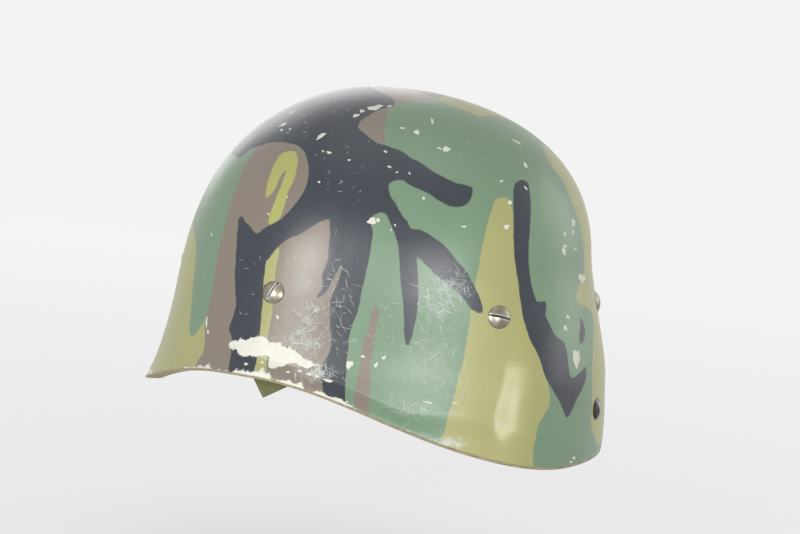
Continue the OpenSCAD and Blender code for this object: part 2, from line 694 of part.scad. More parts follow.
// Outline of a strip of even thickness along a line
function strip(line, t) = let (n = len(line), side = [for (i = [0:n - 1])
    let (d = unit(line[min(n - 1, i + 1)] - line[max(0, i - 1)])) [-d[1], d[0]] * t / 2])
    concat([for (i = [0:n - 1]) line[i] + side[i]], [for (i = [n - 1:-1:0]) line[i] - side[i]]);

module chin_webbing() {
    color([0.42, 0.42, 0.3]) strap_frame()
        rotate([90, 0, 0]) linear_extrude(strap_w, center = true) polygon(strip(strap_line(), strap_t));
}

// Ladder buckle that slides along one parallel side of the strap
module ladder_buckle(side) {
    slot_x = strap_t + 2 * SLIDE;
    slot_y = strap_w + 2 * SLIDE;
    bar = 1.3;
    color([0.3, 0.3, 0.29]) mirror([side > 0 ? 0 : 1, 0, 0]) strap_frame()
        translate([strap_x + strap_t / 2, 0, -buckle_s]) difference() {
            cube([slot_x + 2 * bar, slot_y + 5, buckle_l], center = true);
            cube([slot_x, slot_y, buckle_l + 2], center = true);
            for (z = [-1, 1]) translate([-slot_x / 2 - bar, 0, z * (buckle_l / 4 - 0.5)])
                cube([4 * bar, slot_y - 2, buckle_l / 2 - 5], center = true);
        }
}

// Chin cup with a hollowed top and two keepers round the webbing
module chin_cup() {
    floor_z = -strap_depth + strap_t / 2 + SLIDE;
    keeper = 2;
    keeper_x = cup_l / 3;
    far = [cup_l / 2 - cup_corner, cup_w / 2 - cup_corner];
    color([0.3, 0.2, 0.12]) strap_frame() {
        difference() {
            translate([0, 0, floor_z]) union() {
                translate([-far[0], -cup_w / 2, 0]) cube([2 * far[0], cup_w, cup_t]);
                translate([-cup_l / 2, -far[1], 0]) cube([cup_l, 2 * far[1], cup_t]);
                for (x = [-1, 1], y = [-1, 1])
                    translate([x * far[0], y * far[1], 0]) cylinder(r = cup_corner, h = cup_t);
            }
            translate([0, 0, floor_z + cup_floor + cup_r]) rotate([90, 0, 0])
                cylinder(r = cup_r, h = 2 * cup_w, center = true, $fn = 128);
        }
        for (x = [-1, 1]) translate([x * keeper_x, 0, 0]) difference() {
            translate([-4, -strap_w / 2 - SLIDE - keeper, floor_z - strap_t - 2 * SLIDE - keeper])
                cube([8, strap_w + 2 * SLIDE + 2 * keeper, strap_t + 2 * SLIDE + keeper + 0.5]);
            translate([-5, -strap_w / 2 - SLIDE, floor_z - strap_t - 2 * SLIDE])
                cube([10, strap_w + 2 * SLIDE, strap_t + 2 * SLIDE]);
        }
    }
}

stand() shell();
edge_bead();
stand() suspension_screws();
stand() nape_screws();
stand() suspension_nuts();
stand() nape_nuts();
stand() spacer_washers();
stand() suspension_band();
for (i = [0:5]) stand() crown_strap(CROWN_A[i]);
stand() crown_lace();
stand() headband();
stand() headband_clips();
stand() headband_adjuster();
stand() nape_strap();
stand() nape_pad();
stand() hanger(1);  // hanger_left
stand() hanger(-1);  // hanger_right
stand() strap_rivets();
stand() strap_tail();
stand() end_plate(1);  // end_plate_left
stand() end_plate(-1);  // end_plate_right
stand() chin_webbing();
stand() ladder_buckle(1);  // ladder_buckle_left
stand() ladder_buckle(-1);  // ladder_buckle_right
stand() chin_cup();
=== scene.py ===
"""Looks of a moulded combat helmet: painted laminate shell, domed screws, webbing, leather and chin strap."""
import math

import bpy
import numpy as np
from mathutils import Matrix


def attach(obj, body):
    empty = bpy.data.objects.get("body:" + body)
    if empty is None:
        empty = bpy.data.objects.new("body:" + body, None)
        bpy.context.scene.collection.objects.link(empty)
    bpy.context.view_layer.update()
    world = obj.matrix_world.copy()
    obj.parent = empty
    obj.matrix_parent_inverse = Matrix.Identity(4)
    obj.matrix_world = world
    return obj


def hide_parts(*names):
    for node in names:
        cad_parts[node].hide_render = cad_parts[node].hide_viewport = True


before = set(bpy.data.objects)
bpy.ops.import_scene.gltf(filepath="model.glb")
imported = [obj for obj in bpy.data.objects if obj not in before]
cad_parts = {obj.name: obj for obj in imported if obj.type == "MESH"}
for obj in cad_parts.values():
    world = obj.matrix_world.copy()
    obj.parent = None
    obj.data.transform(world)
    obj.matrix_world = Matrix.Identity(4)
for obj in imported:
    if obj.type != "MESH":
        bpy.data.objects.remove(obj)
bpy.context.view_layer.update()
MM = 0.001

# Camera: the photograph's frame in pixels, and the view that was fitted to the shell's outline
PICTURE = np.array([800.0, 534.0])
SENSOR = 36.0
VIEW_AZIMUTH, VIEW_HEIGHT, VIEW_ROLL = np.radians([96.09, 7.57, 4.42])
VIEW_DISTANCE = 1209.11
PIXELS_PER_MM = 1.76
AIM_PIXEL = np.array([347.62, 271.17])
AIM_POINT = np.array([0.0, 0.0, 85.0])

VIEW_BACK = np.array([math.sin(VIEW_AZIMUTH) * math.cos(VIEW_HEIGHT),
                      -math.cos(VIEW_AZIMUTH) * math.cos(VIEW_HEIGHT), math.sin(VIEW_HEIGHT)])
level_right = np.cross(-VIEW_BACK, [0, 0, 1])
level_right /= np.linalg.norm(level_right)
level_up = np.cross(level_right, -VIEW_BACK)
VIEW_RIGHT = math.cos(VIEW_ROLL) * level_right + math.sin(VIEW_ROLL) * level_up
VIEW_UP = math.cos(VIEW_ROLL) * level_up - math.sin(VIEW_ROLL) * level_right
EYE = AIM_POINT + VIEW_DISTANCE * VIEW_BACK


def to_pixels(points):
    """Pinhole view: pixel = aim pixel + scale * distance * (offset along right, down) / depth."""
    offset = points - AIM_POINT
    depth = VIEW_DISTANCE - offset @ VIEW_BACK
    along = PIXELS_PER_MM * VIEW_DISTANCE * (offset @ VIEW_RIGHT) / depth
    down = -PIXELS_PER_MM * VIEW_DISTANCE * (offset @ VIEW_UP) / depth
    return AIM_PIXEL + np.stack([along, down], -1)


# The shell's own form in millimetres, made upright. Angles go round it in degrees, from the brow to its left
SHELL_H, HALF_W, LEN_FRONT, LEN_REAR, BELT_Z, BELT_SOFT = 191.0, 107.8, 96.7, 133.7, 59.0, 14.0
PLAN_FRONT, PLAN_REAR, DOME_N, WALL, LEAN, LEAN_FROM = 2.15, 2.46, 3.04, 8.0, 0.12, 60.0
DRAFT_SIDE, DRAFT_FRONT, DRAFT_REAR, EAR_BULGE, NAPE_BULGE = 0.06, 0.13, 0.19, 8.6, 15.2
FLARE_FRONT, FLARE_SIDE, FLARE_REAR, FLARE_H, LIP_H, LIP_MORE = 2.5, 4.2, -1.4, 21.0, 10.0, 12.0
ARCH_H, BROW_DROOP, RIM_BEAD = 40.9, 25.5, 1.0
BAND_GAP, WEB_T, BAND_Z, BAND_W = 3.0, 2.0, 71.0, 26.0
BAND_IN = WALL + BAND_GAP + WEB_T


def share(a, b, x):
    """Smooth step from 0 at a to 1 at b: 3t^2 - 2t^3."""
    t = np.clip((x - a) / (b - a), 0, 1)
    return t * t * (3 - 2 * t)


def rim_z(a):
    """Height of the rim: it droops at the brow, arches over the ears and falls again to the nape."""
    return ARCH_H * (1 - share(74, 154, abs(a))) - BROW_DROOP * (1 - share(0, 72, abs(a)))


def shell_radius(a, z, inset):
    """Superellipse plan times the dome's share, plus draft, ear bulge, nape bulge and flared rim. The outer
    face alone has the rim's hollow lip beside the ears and the step of the nape bulge."""
    c, s, d = np.cos(np.radians(a)), abs(np.sin(np.radians(a))), abs(a)
    n = np.where(c > 0, PLAN_FRONT, PLAN_REAR)
    length = np.where(c > 0, LEN_FRONT, LEN_REAR) - inset
    plan = ((s / (HALF_W - inset)) ** n + (abs(c) / length) ** n) ** (-1 / n)
    high = np.clip((z - BELT_Z) / (SHELL_H - inset - BELT_Z), 0, 1)
    dome = np.sqrt(np.maximum(0, 1 - high ** DOME_N))
    under = BELT_Z - z
    fall = np.where(abs(under) < BELT_SOFT, (under + BELT_SOFT) ** 2 / (4 * BELT_SOFT), np.maximum(0, under))
    draft = DRAFT_SIDE + (np.where(c > 0, DRAFT_FRONT, DRAFT_REAR) - DRAFT_SIDE) * c * c
    ear = EAR_BULGE * share(48, 75, d) * (1 - share(118, 136, d)) * (1 - share(45, 95, z))
    nape = NAPE_BULGE * share(117, 141, d) * (1 - share(40, 108, z))
    front, rear = 1 - share(20, 60, d), share(110, 160, d)
    over = z - rim_z(a)
    fade = (1 - np.clip(over / FLARE_H, 0, 1)) ** 2
    outer_face = np.ndim(inset) == 0 and inset == 0
    if outer_face:
        lip_height = LIP_H + LIP_MORE * share(112, 131, d)
        lip = np.cos(np.pi / 2 * np.clip(over / lip_height, 0, 1)) ** 1.6
        beside = share(50, 72, d) * (1 - share(136, 150, d))
        fade = fade * (1 - beside) + lip * beside
    flare = FLARE_FRONT * front + FLARE_SIDE * (1 - front) * (1 - rear) + FLARE_REAR * rear
    radius = plan * dome + draft * fall + ear + nape + flare * fade * np.where(np.asarray(inset) > 0, 0.5, 1)
    return radius + (bulge_step(d, z, radius) if outer_face else 0)


def bulge_step(d, z, radius):
    """Moulded step where the nape bulge starts: a shallow dip, a quarter wave up, then a slow fall back."""
    crease = 134 + 1.3 * share(30, 55, z) + 8 * share(55, 80, z)
    along = np.radians(d - crease) * radius
    dip = -1.0 * np.exp(np.minimum(along, 0) / 18)
    rise = 3.1 * np.sin(np.pi / 2 * np.clip(along / 14, 0, 1))
    settled = 1 - share(14, 48, along)
    high = (1 - share(56, 76, z)) * share(8, 19, z - rim_z(d))
    return high * (dip + rise) * settled


def points_of(x, y, z):
    """Points from three coordinates of any matching shapes."""
    return np.stack(np.broadcast_arrays(x, y, z), -1).astype(float)


def shell_at(a, z, inset=0.0):
    """Point of the shell's face at angle a round it and height z, drawn in by inset."""
    a, z = np.broadcast_arrays(np.asarray(a, float), np.asarray(z, float))
    r = shell_radius(a, z, inset)
    return points_of(r * np.sin(np.radians(a)), LEAN * (z - LEAN_FROM) - r * np.cos(np.radians(a)), z)


def unit(v):
    return v / np.linalg.norm(v, axis=-1, keepdims=True)


def shell_normal(a, z):
    """Outward normal of the outer face, from two short chords."""
    round_chord = shell_at(a + 0.5, z) - shell_at(a - 0.5, z)
    return unit(np.cross(round_chord, shell_at(a, z + 0.5) - shell_at(a, z - 0.5)))


def turned(points, angle):
    """Turn about the X axis: y cos - z sin, y sin + z cos."""
    x, y, z = points[..., 0], points[..., 1], points[..., 2]
    c, s = math.cos(angle), math.sin(angle)
    return points_of(x, y * c - z * s, y * s + z * c)


# The upright shell is tipped onto the middle of its brow and the two rear corners of its rim
REST_ANGLE = 150.0
BROW_TIP = shell_at(0.0, rim_z(0.0))
REAR_TIP = shell_at(REST_ANGLE, rim_z(REST_ANGLE), WALL)
TIP = math.atan2(BROW_TIP[2] - REAR_TIP[2], REAR_TIP[1] - BROW_TIP[1])
FLOOR_UP = np.array([0, math.sin(TIP), math.cos(TIP)])
NAPE_REACH = turned(shell_at(180.0, np.arange(0.0, 22.0)), TIP)[:, 1].max()
SHIFT = np.array([0, -(turned(BROW_TIP, TIP)[1] + NAPE_REACH) / 2, -turned(REAR_TIP, TIP)[2]])


def stand(points):
    """From the upright making to the frame of the solids."""
    return turned(points, TIP) + SHIFT


def added(name, data):
    """New object in the scene."""
    made = bpy.data.objects.new(name, data)
    bpy.context.scene.collection.objects.link(made)
    return made


def placed(name, data, right, up, back, at):
    """Object with its own axes and its place given in the frame of the solids, in metres."""
    made = added(name, data)
    columns = np.eye(4)
    columns[:3] = np.stack([right, up, back, at], 1)
    made.matrix_world = Matrix(columns.tolist())
    return made


photo_lens = bpy.data.cameras.new("photo_camera")
photo_lens.sensor_width = SENSOR
photo_lens.lens = PIXELS_PER_MM * VIEW_DISTANCE * SENSOR / PICTURE[0]
photo_lens.shift_x = (PICTURE[0] / 2 - AIM_PIXEL[0]) / PICTURE[0]
photo_lens.shift_y = (AIM_PIXEL[1] - PICTURE[1] / 2) / PICTURE[0]
photo_lens.clip_start = 0.01
view_axes = [turned(axis, TIP) for axis in (VIEW_RIGHT, VIEW_UP, VIEW_BACK)]
bpy.context.scene.camera = placed("photo_camera", photo_lens, *view_axes, stand(EYE) * MM)

# Mesh making. Steps along rows and columns from a face's first corner to each of its four
CORNERS = ((0, 0), (0, 1), (1, 1), (1, 0))


def skin(grid, ends="cap", marks=None, uv=None):
    """Closed surface over a grid of rings: every ring closes on itself, and the first and last ring are
    joined to each other ("loop") or each filled by a fan to its middle ("cap"). Returns points, faces, fans,
    point marks and corner texture places, with the faces turned outwards."""
    n, m = grid.shape[:2]
    points = grid.reshape(-1, 3)
    marks = {k: np.asarray(v, float).reshape(-1) for k, v in (marks or {}).items()}
    rows = np.arange(n if ends == "loop" else n - 1)[:, None]
    columns = np.arange(m)
    faces = np.stack([(rows + i) % n * m + (columns + j) % m for i, j in CORNERS], -1).reshape(-1, 4)
    texture = None
    if uv is not None:
        u, v = uv
        texture = [np.stack(np.broadcast_arrays(u[rows + i], v[columns + j]), -1) for i, j in CORNERS]
        texture = np.stack(texture, 2).reshape(-1, 4, 2)
    fans = np.zeros((0, 3), int)
    if ends == "cap":
        points = np.vstack([points, grid[0].mean(0), grid[-1].mean(0)])
        after = (columns + 1) % m
        low = np.stack([np.full(m, n * m), after, columns], -1)
        high = np.stack([np.full(m, n * m + 1), (n - 1) * m + columns, (n - 1) * m + after], -1)
        fans = np.vstack([low, high])
        marks = {k: np.concatenate([v, [v[:m].mean(), v[-m:].mean()]]) for k, v in marks.items()}
    corner = np.vstack([points[faces[:, :3]], points[faces[:, [0, 2, 3]]], points[fans]])
    volume = (np.cross(corner[:, 0], corner[:, 1]) * corner[:, 2]).sum()
    if volume < 0:
        faces, fans = faces[:, ::-1], fans[:, ::-1]
        texture = None if texture is None else texture[:, ::-1]
    return points, faces, fans, marks, texture


def piece(name, skins, finish, body, replaces=(), smooth=True):
    """One object in metres from a list of skins, riding on its body and standing for its CAD nodes."""
    starts = np.cumsum([0] + [len(s[0]) for s in skins])
    quads = np.vstack([s[1] + start for s, start in zip(skins, starts)])
    fans = np.vstack([s[2] + start for s, start in zip(skins, starts)])
    mesh = bpy.data.meshes.new(name)
    places = stand(np.vstack([s[0] for s in skins])) * MM
    mesh.from_pydata(places.tolist(), [], quads.tolist() + fans.tolist())
    mesh.validate()
    mesh.polygons.foreach_set("use_smooth", np.full(len(mesh.polygons), smooth))
    for key in skins[0][3]:
        attribute = mesh.attributes.new(key, "FLOAT", "POINT")
        attribute.data.foreach_set("value", np.concatenate([s[3][key] for s in skins]).astype(np.float32))
    if skins[0][4] is not None:
        layer = mesh.uv_layers.new(name="along_across")
        places = np.vstack([s[4].reshape(-1, 2) for s in skins] + [np.zeros((fans.size, 2))])
        layer.data.foreach_set("uv", places.astype(np.float32).reshape(-1))
    mesh.materials.append(finish)
    made = added(name, mesh)
    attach(made, body)
    if replaces:
        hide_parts(*replaces)
    return made


# Materials
class Output:
    """A node's output. Sums, differences, products and quotients of these add Math nodes."""

    def __init__(self, nodes, socket):
        self.nodes, self.socket = nodes, socket

    def __add__(self, other):
        return self.nodes.math("ADD", self, other)

    def __sub__(self, other):
        return self.nodes.math("SUBTRACT", self, other)

    def __mul__(self, other):
        return self.nodes.math("MULTIPLY", self, other)

    def __truediv__(self, other):
        return self.nodes.math("DIVIDE", self, other)

    def __abs__(self):
        return self.nodes.math("ABSOLUTE", self)


class Nodes:
    """Helpers that add nodes to a tree and return their outputs."""

    def __init__(self, tree):
        self.tree = tree

    def put(self, socket, value):
        if isinstance(value, Output):
            self.tree.links.new(value.socket, socket)
        elif isinstance(value, tuple) and len(value) == 3 and socket.type == "RGBA":
            socket.default_value = (*value, 1)
        else:
            socket.default_value = value

    def node(self, kind, out=0, inputs=None, **settings):
        made = self.tree.nodes.new(kind)
        for key, value in settings.items():
            setattr(made, key, value)
        for key, value in (inputs or {}).items():
            self.put(made.inputs[key], value)
        return Output(self, made.outputs[out])

    def math(self, operation, a, b=0.0):
        return self.node("ShaderNodeMath", inputs={0: a, 1: b}, operation=operation)

    def largest(self, first, *others):
        for other in others:
            first = self.math("MAXIMUM", first, other)
        return first

    def blend(self, amount, a, b):
        """Mix of two shaders."""
        return self.node("ShaderNodeMixShader", inputs={0: amount, 1: a, 2: b})

    def ray(self, kind):
        """1 for rays of the named kind, else 0."""
        return self.node("ShaderNodeLightPath", f"Is {kind} Ray")


class Finish(Nodes):
    """A procedural material, placed by the piece's own coordinates, marks and texture places."""

    def __init__(self, name, roughness=0.5, metallic=0.0, **sockets):
        self.material = bpy.data.materials.new(name)
        self.material.use_nodes = True
        super().__init__(self.material.node_tree)
        self.shader = self.tree.nodes["Principled BSDF"]
        for key, value in {"Roughness": roughness, "Metallic": metallic, **sockets}.items():
            self.shader.inputs[key.replace("_", " ")].default_value = value
        self.place = self.node("ShaderNodeTexCoord", "Object")

    def mark(self, name):
        """Number stored on the mesh's points."""
        return self.node("ShaderNodeAttribute", "Fac", attribute_name=name)

    def along_across(self):
        """Millimetres along and across the piece, from its own texture places."""
        places = self.node("ShaderNodeUVMap", uv_map="along_across")
        return [self.node("ShaderNodeSeparateXYZ", axis, {0: places}) for axis in "XY"]

    def wave(self, value, length=2 * math.pi):
        """Sine of a value that repeats after a length."""
        return self.math("SINE", value * (2 * math.pi / length))

    def stretched(self, scale, turn=(0, 0, 0)):
        turned_place = self.node("ShaderNodeMapping", inputs={0: self.place, "Rotation": turn})
        return self.node("ShaderNodeMapping", inputs={0: turned_place, "Scale": scale})

    def noise(self, scale, detail=4.0, rough=0.55, place=None, twist=0.0):
        return self.node("ShaderNodeTexNoise", "Fac", {
            "Vector": place or self.place, "Scale": scale, "Detail": detail, "Roughness": rough,
            "Distortion": twist})

    def step(self, value, low, high, to_low=0.0, to_high=1.0):
        """Straight change between two values of the input, held outside them."""
        return self.node("ShaderNodeMapRange", inputs={0: value, 1: low, 2: high, 3: to_low, 4: to_high})

    def mix(self, amount, a, b):
        """Mix of two colours."""
        return self.node("ShaderNodeMix", 2, {0: amount, 6: a, 7: b}, data_type="RGBA")

    def bump(self, height, distance):
        made = self.node("ShaderNodeBump", inputs={"Height": height, "Distance": distance, "Strength": 1.0})
        self.put(self.shader.inputs["Normal"], made)

    def done(self, color, roughness=None):
        self.put(self.shader.inputs["Base Color"], color)
        if roughness is not None:
            self.put(self.shader.inputs["Roughness"], roughness)
        return self.material


def srgb(r, g, b):
    """Screen colour to linear light."""
    c = np.array([r, g, b]) / 255
    return tuple(float(v) for v in np.where(c <= 0.04045, c / 12.92, ((c + 0.055) / 1.055) ** 2.4))


def shaded(color, amount):
    """The colour made darker or lighter, held at white."""
    return tuple(min(1, v * amount) for v in color)


GREEN, OLIVE, BROWN, BLACK = srgb(104, 131, 103), srgb(155, 154, 98), srgb(121, 110, 98), srgb(31, 38, 48)
LOOP_OLIVE, INSIDE = srgb(158, 160, 88), srgb(74, 78, 52)
WEBBING_DARK, WEBBING_LIGHT = srgb(92, 92, 58), srgb(124, 122, 82)
LACE_TAN, LEATHER_DARK, LEATHER_LIGHT = srgb(150, 141, 106), srgb(74, 46, 30), srgb(118, 78, 50)


def camouflage_paint():
    """Brushed enamel: layers cut where each outline's distance crosses zero, chipped to a pale primer."""
    f = Finish("camouflage_paint", roughness=0.36, IOR=1.62)
    wander = f.step(f.noise(140, 3, 0.6), 0.25, 0.75, -0.45, 0.45)
    patches = f.noise(28, 4, 0.6)
    color = f.mix(patches, shaded(GREEN, 0.92), shaded(GREEN, 1.08))
    for name, paint in (("olive", OLIVE), ("brown", BROWN), ("loop", LOOP_OLIVE), ("black", BLACK)):
        inside = f.step(f.mark(name) + wander, -0.35, 0.35)
        color = f.mix(inside, color, f.mix(patches, shaded(paint, 0.92), shaded(paint, 1.08)))
    # Rubbed and scratched places, which also carry a painted sheen: strokes in five directions, denser at the
    # worn places, which also hold the painted sheen
    wear_and_sheen = f.mark("wear_and_sheen")
    strokes = f.noise(2.6, 3, 0.6, f.stretched((36, 22, 520)), 0.2)
    for turn in (0.95, -0.75, 0.32, 1.35):
        strokes = f.largest(strokes, f.noise(2.6, 3, 0.6, f.stretched((36, 22, 560), (turn, 0, 0)), 0.2))
    dense = wear_and_sheen * 0.17 + f.step(f.noise(130, 4, 0.65), 0.3, 0.7, -0.07, 0.07)
    lines = f.step(strokes + dense, 0.735, 0.80)
    grains = f.step(f.noise(420, 5, 0.75) + dense, 0.72, 0.80)
    rubbed = f.step(f.noise(95, 6, 0.7) + dense, 0.62, 0.86)
    scuffed_and_sheen = f.largest(lines, grains, rubbed * 0.22) * f.step(wear_and_sheen, 0.05, 0.6, 0.2, 1.0)
    # Pale strokes and patches: real scratches with a painted sheen of the lamps over them
    color = f.mix(scuffed_and_sheen * 0.58, color, srgb(206, 211, 208))
    # Primer where the paint has come away
    ragged = f.step(f.noise(210, 6, 0.72), 0.25, 0.75, -1.9, 1.9)
    bare = f.step(f.mark("bare") + ragged, -0.2, 0.2)
    primer = f.mix(f.noise(90, 5, 0.65), srgb(196, 194, 178), srgb(219, 219, 210))
    primer = f.mix(f.step(f.noise(420, 4, 0.7), 0.56, 0.72, 0, 0.35), primer, srgb(182, 173, 146))
    color = f.mix(bare, color, primer)
    inner = f.mark("inner")
    cloth = f.mix(f.noise(500, 3, 0.5), shaded(INSIDE, 0.8), shaded(INSIDE, 1.15))
    color = f.mix(f.step(inner, 0.4, 0.6), color, cloth)
    rough = f.step(patches, 0.2, 0.8, 0.31, 0.38) + f.largest(bare, scuffed_and_sheen) * 0.2 + inner * 0.3
    brushed = f.noise(60, 5, 0.6, f.stretched((1.0, 9.0, 0.8)))
    grain = f.noise(75, 3, 0.5) * 0.5 + f.noise(900, 4, 0.6) * 0.08
    f.bump(grain + brushed * 0.10 - scuffed_and_sheen * 0.10 - bare * 0.5, 0.0004)
    return f.done(color, rough)


def speckled(name, roughness, color_noise, dark, light, bump_noise, depth):
    """Plain stuff of two tones with a fine grain, each from one noise."""
    f = Finish(name, roughness=roughness)
    f.bump(f.noise(*bump_noise), depth)
    return f.done(f.mix(f.noise(*color_noise), srgb(*dark), srgb(*light)))


def laminate_edge():
    """Cut edge of the laminate, in strands that run round the rim."""
    f = Finish("laminate_edge", roughness=0.7)
    strands = f.noise(40, 5, 0.7, f.stretched((6, 6, 60)))
    f.bump(strands, 0.0006)
    return f.done(f.mix(f.step(strands, 0.3, 0.7), srgb(112, 101, 76), srgb(188, 174, 140)))


def worn_metal(name, dark, light, roughness, metallic=1.0, scale=240):
    f = Finish(name, roughness=roughness, metallic=metallic)
    blotch = f.noise(scale, 5, 0.65)
    grain = f.noise(scale * 8, 3, 0.6)
    f.bump(blotch + grain * 0.4, 0.00012)
    color = f.mix(f.step(blotch, 0.35, 0.65), srgb(*dark), srgb(*light))
    return f.done(color, f.step(grain, 0.3, 0.7, roughness - 0.08, roughness + 0.12))


def domed_metal(name, dark, light, roughness):
    """Screw head: turned metal with painted shade round its edge and in its slot, and a painted glint on the
    slot's edges.
    """
    f = Finish(name, roughness=roughness, metallic=1.0)
    blotch = f.noise(160, 4, 0.6)
    grain = f.noise(1900, 3, 0.6)
    color = f.mix(f.step(blotch, 0.3, 0.7), srgb(*dark), srgb(*light))
    # Near-white slot edges: a painted glint
    color = f.mix(f.step(f.mark("slot_edge_glint"), 0.3, 0.9, 0, 0.8), color, srgb(216, 214, 214))
    # Dark ring round the head and dark slot floor: painted shade
    painted_shade = f.largest(f.mark("rim_painted_shade"), f.mark("slot_painted_shade"))
    color = f.mix(painted_shade * f.step(grain, 0.3, 0.6, 0.7, 1.0), color, srgb(50, 44, 36))
    f.bump(blotch * 0.4 + grain * 0.4, 0.00006)
    return f.done(color, f.step(grain, 0.3, 0.7, roughness - 0.06, roughness + 0.10))


def woven(name, stitch_every=0.0, rib=1.1):
    """Webbing: ribs across and along in the piece's own millimetres, with two sewn rows where asked."""
    f = Finish(name, roughness=0.85, Sheen_Weight=0.25, Sheen_Roughness=0.5)
    along, across = f.along_across()
    cords = f.wave(across, rib * 1.6)
    relief = f.wave(along, rib) * cords * 0.35 + cords * 0.25
    fuzz = f.noise(1600, 4, 0.7)
    # Darker in the weave's hollows and lighter on its ribs: painted shade
    color = f.mix(f.step(relief, -0.5, 0.5), WEBBING_DARK, WEBBING_LIGHT)
    color = f.mix(f.step(f.noise(45, 4, 0.6), 0.35, 0.75, 0.0, 0.45), color, shaded(WEBBING_DARK, 0.55))
    color = f.mix(f.step(fuzz, 0.5, 0.8, 0.0, 0.35), color, shaded(WEBBING_LIGHT, 1.5))
    if stitch_every:
        from_row = abs(abs(across) - (BAND_W / 2 - 2.2))
        thread = f.step(from_row, 0.25, 0.4, 1, 0) * f.step(f.wave(along, stitch_every), -0.5, -0.3)
        color = f.mix(thread, color, shaded(WEBBING_LIGHT, 1.9))
        relief = relief + thread * 1.2
    f.bump(relief + fuzz * 0.5, 0.00035)
    return f.done(color)


def braided_lace():
    """Cord of two crossing sets of strands, darker between them as painted shade."""
    f = Finish("braided_lace", roughness=0.8, Sheen_Weight=0.3)
    along, across = f.along_across()
    braid = f.largest(f.wave(along * 3.1 + across * 2.5), f.wave(along * 3.1 - across * 2.5))
    # Half as bright between the strands: painted shade
    color = f.mix(f.step(braid, -0.2, 0.9), shaded(LACE_TAN, 0.5), LACE_TAN)
    f.bump(braid, 0.0005)
    return f.done(f.mix(f.step(f.noise(60), 0.4, 0.7, 0, 0.35), color, srgb(96, 86, 62)))


def worn_leather(name, sewn=False, width=38.0, pitch=7.0):
    """Grained leather, rubbed paler along its edges; sewn and punched in rows where the piece asks."""
    f = Finish(name, roughness=0.5, Sheen_Weight=0.08)
    grain = f.node("ShaderNodeTexVoronoi", "Distance", {"Vector": f.place, "Scale": 900, "Randomness": 1.0})
    blotch = f.noise(55, 5, 0.65)
    color = f.mix(f.step(blotch, 0.3, 0.7), LEATHER_DARK, LEATHER_LIGHT)
    color = f.mix(f.step(f.noise(700, 3, 0.6), 0.55, 0.75, 0, 0.3), color, shaded(LEATHER_DARK, 0.5))
    relief = grain * 0.6
    if sewn:
        along, across = f.along_across()
        from_row = abs(abs(across) - (width / 2 - 3.0))
        groove = f.step(from_row, 0.5, 0.9, 1, 0)
        thread = f.step(from_row, 0.3, 0.45, 1, 0) * f.step(f.wave(along, 3.2), -0.45, -0.25)
        # Stitch groove darkened: painted shade
        color = f.mix(groove * 0.6, color, shaded(LEATHER_DARK, 0.4))
        color = f.mix(thread, color, srgb(176, 160, 122))
        rubbed = f.step(abs(across), width / 2 - 1.6, width / 2 - 0.3)
        color = f.mix(rubbed * 0.5, color, srgb(156, 112, 76))
        # Rows of punched air holes along the middle
        cell_u, cell_v = [f.math("FRACT", way / pitch) - 0.5 for way in (along, across)]
        spread = f.math("SQRT", cell_u * cell_u + cell_v * cell_v)
        hole = f.step(spread, 0.11, 0.15, 1, 0) * f.step(abs(across), 10.2, 10.6, 1, 0)
        # Holes painted near black: painted shade inside them
        color = f.mix(hole, color, srgb(18, 14, 12))
        relief = relief + (thread * 1.6 - groove) - hole * 2.0
    f.bump(relief, 0.0004)
    return f.done(color, f.step(blotch, 0.3, 0.7, 0.42, 0.62))


CAMOUFLAGE = camouflage_paint()
CHIPS = speckled("chip_primer", 0.6, (800, 4, 0.6), (190, 187, 172), (224, 223, 212), (1500, 3, 0.5), 0.0002)
SCRATCHED = speckled("scratched_paint", 0.5, (420, 4, 0.65), (136, 150, 142), (198, 206, 200), (1500, 3, 0.5),
                     0.0001)
RUBBER = speckled("black_rubber", 0.75, (200,), (26, 26, 26), (48, 47, 46), (900, 3, 0.6), 0.0003)
EDGE = laminate_edge()
SCREW_METAL = domed_metal("screw_nickel", (126, 119, 102), (166, 160, 146), 0.32)
DARK_SCREW = domed_metal("screw_dark", (40, 38, 38), (84, 82, 80), 0.36)
NUT_METAL = worn_metal("nut_zinc", (140, 134, 112), (206, 200, 176), 0.36)
BRASS = worn_metal("rivet_brass", (116, 88, 44), (206, 170, 100), 0.34)
DARK_STEEL = worn_metal("blackened_steel", (40, 40, 41), (62, 61, 59), 0.46, 0.7)
WEBBING = woven("webbing_olive")
SEWN_WEBBING = woven("webbing_sewn", 3.0)
LACE = braided_lace()
LEATHER = worn_leather("leather_plain")
SEWN_LEATHER = worn_leather("leather_sewn", True)

# Shell skin: stations round it, closer together on the wearer's left, and rows from the crown to the rim
LEFT_STATIONS, RIGHT_STATIONS, DOME_ROWS, WALL_ROWS, INNER_ROWS = 240, 130, 130, 56, 44


def within_half_turn(angles):
    """Angles past the rear counted back from the brow's other side."""
    return np.where(angles > 180, angles - 360, angles)


ANGLES = within_half_turn(np.concatenate([np.linspace(0, 180, LEFT_STATIONS, endpoint=False),
                                          np.linspace(180, 360, RIGHT_STATIONS, endpoint=False)]))


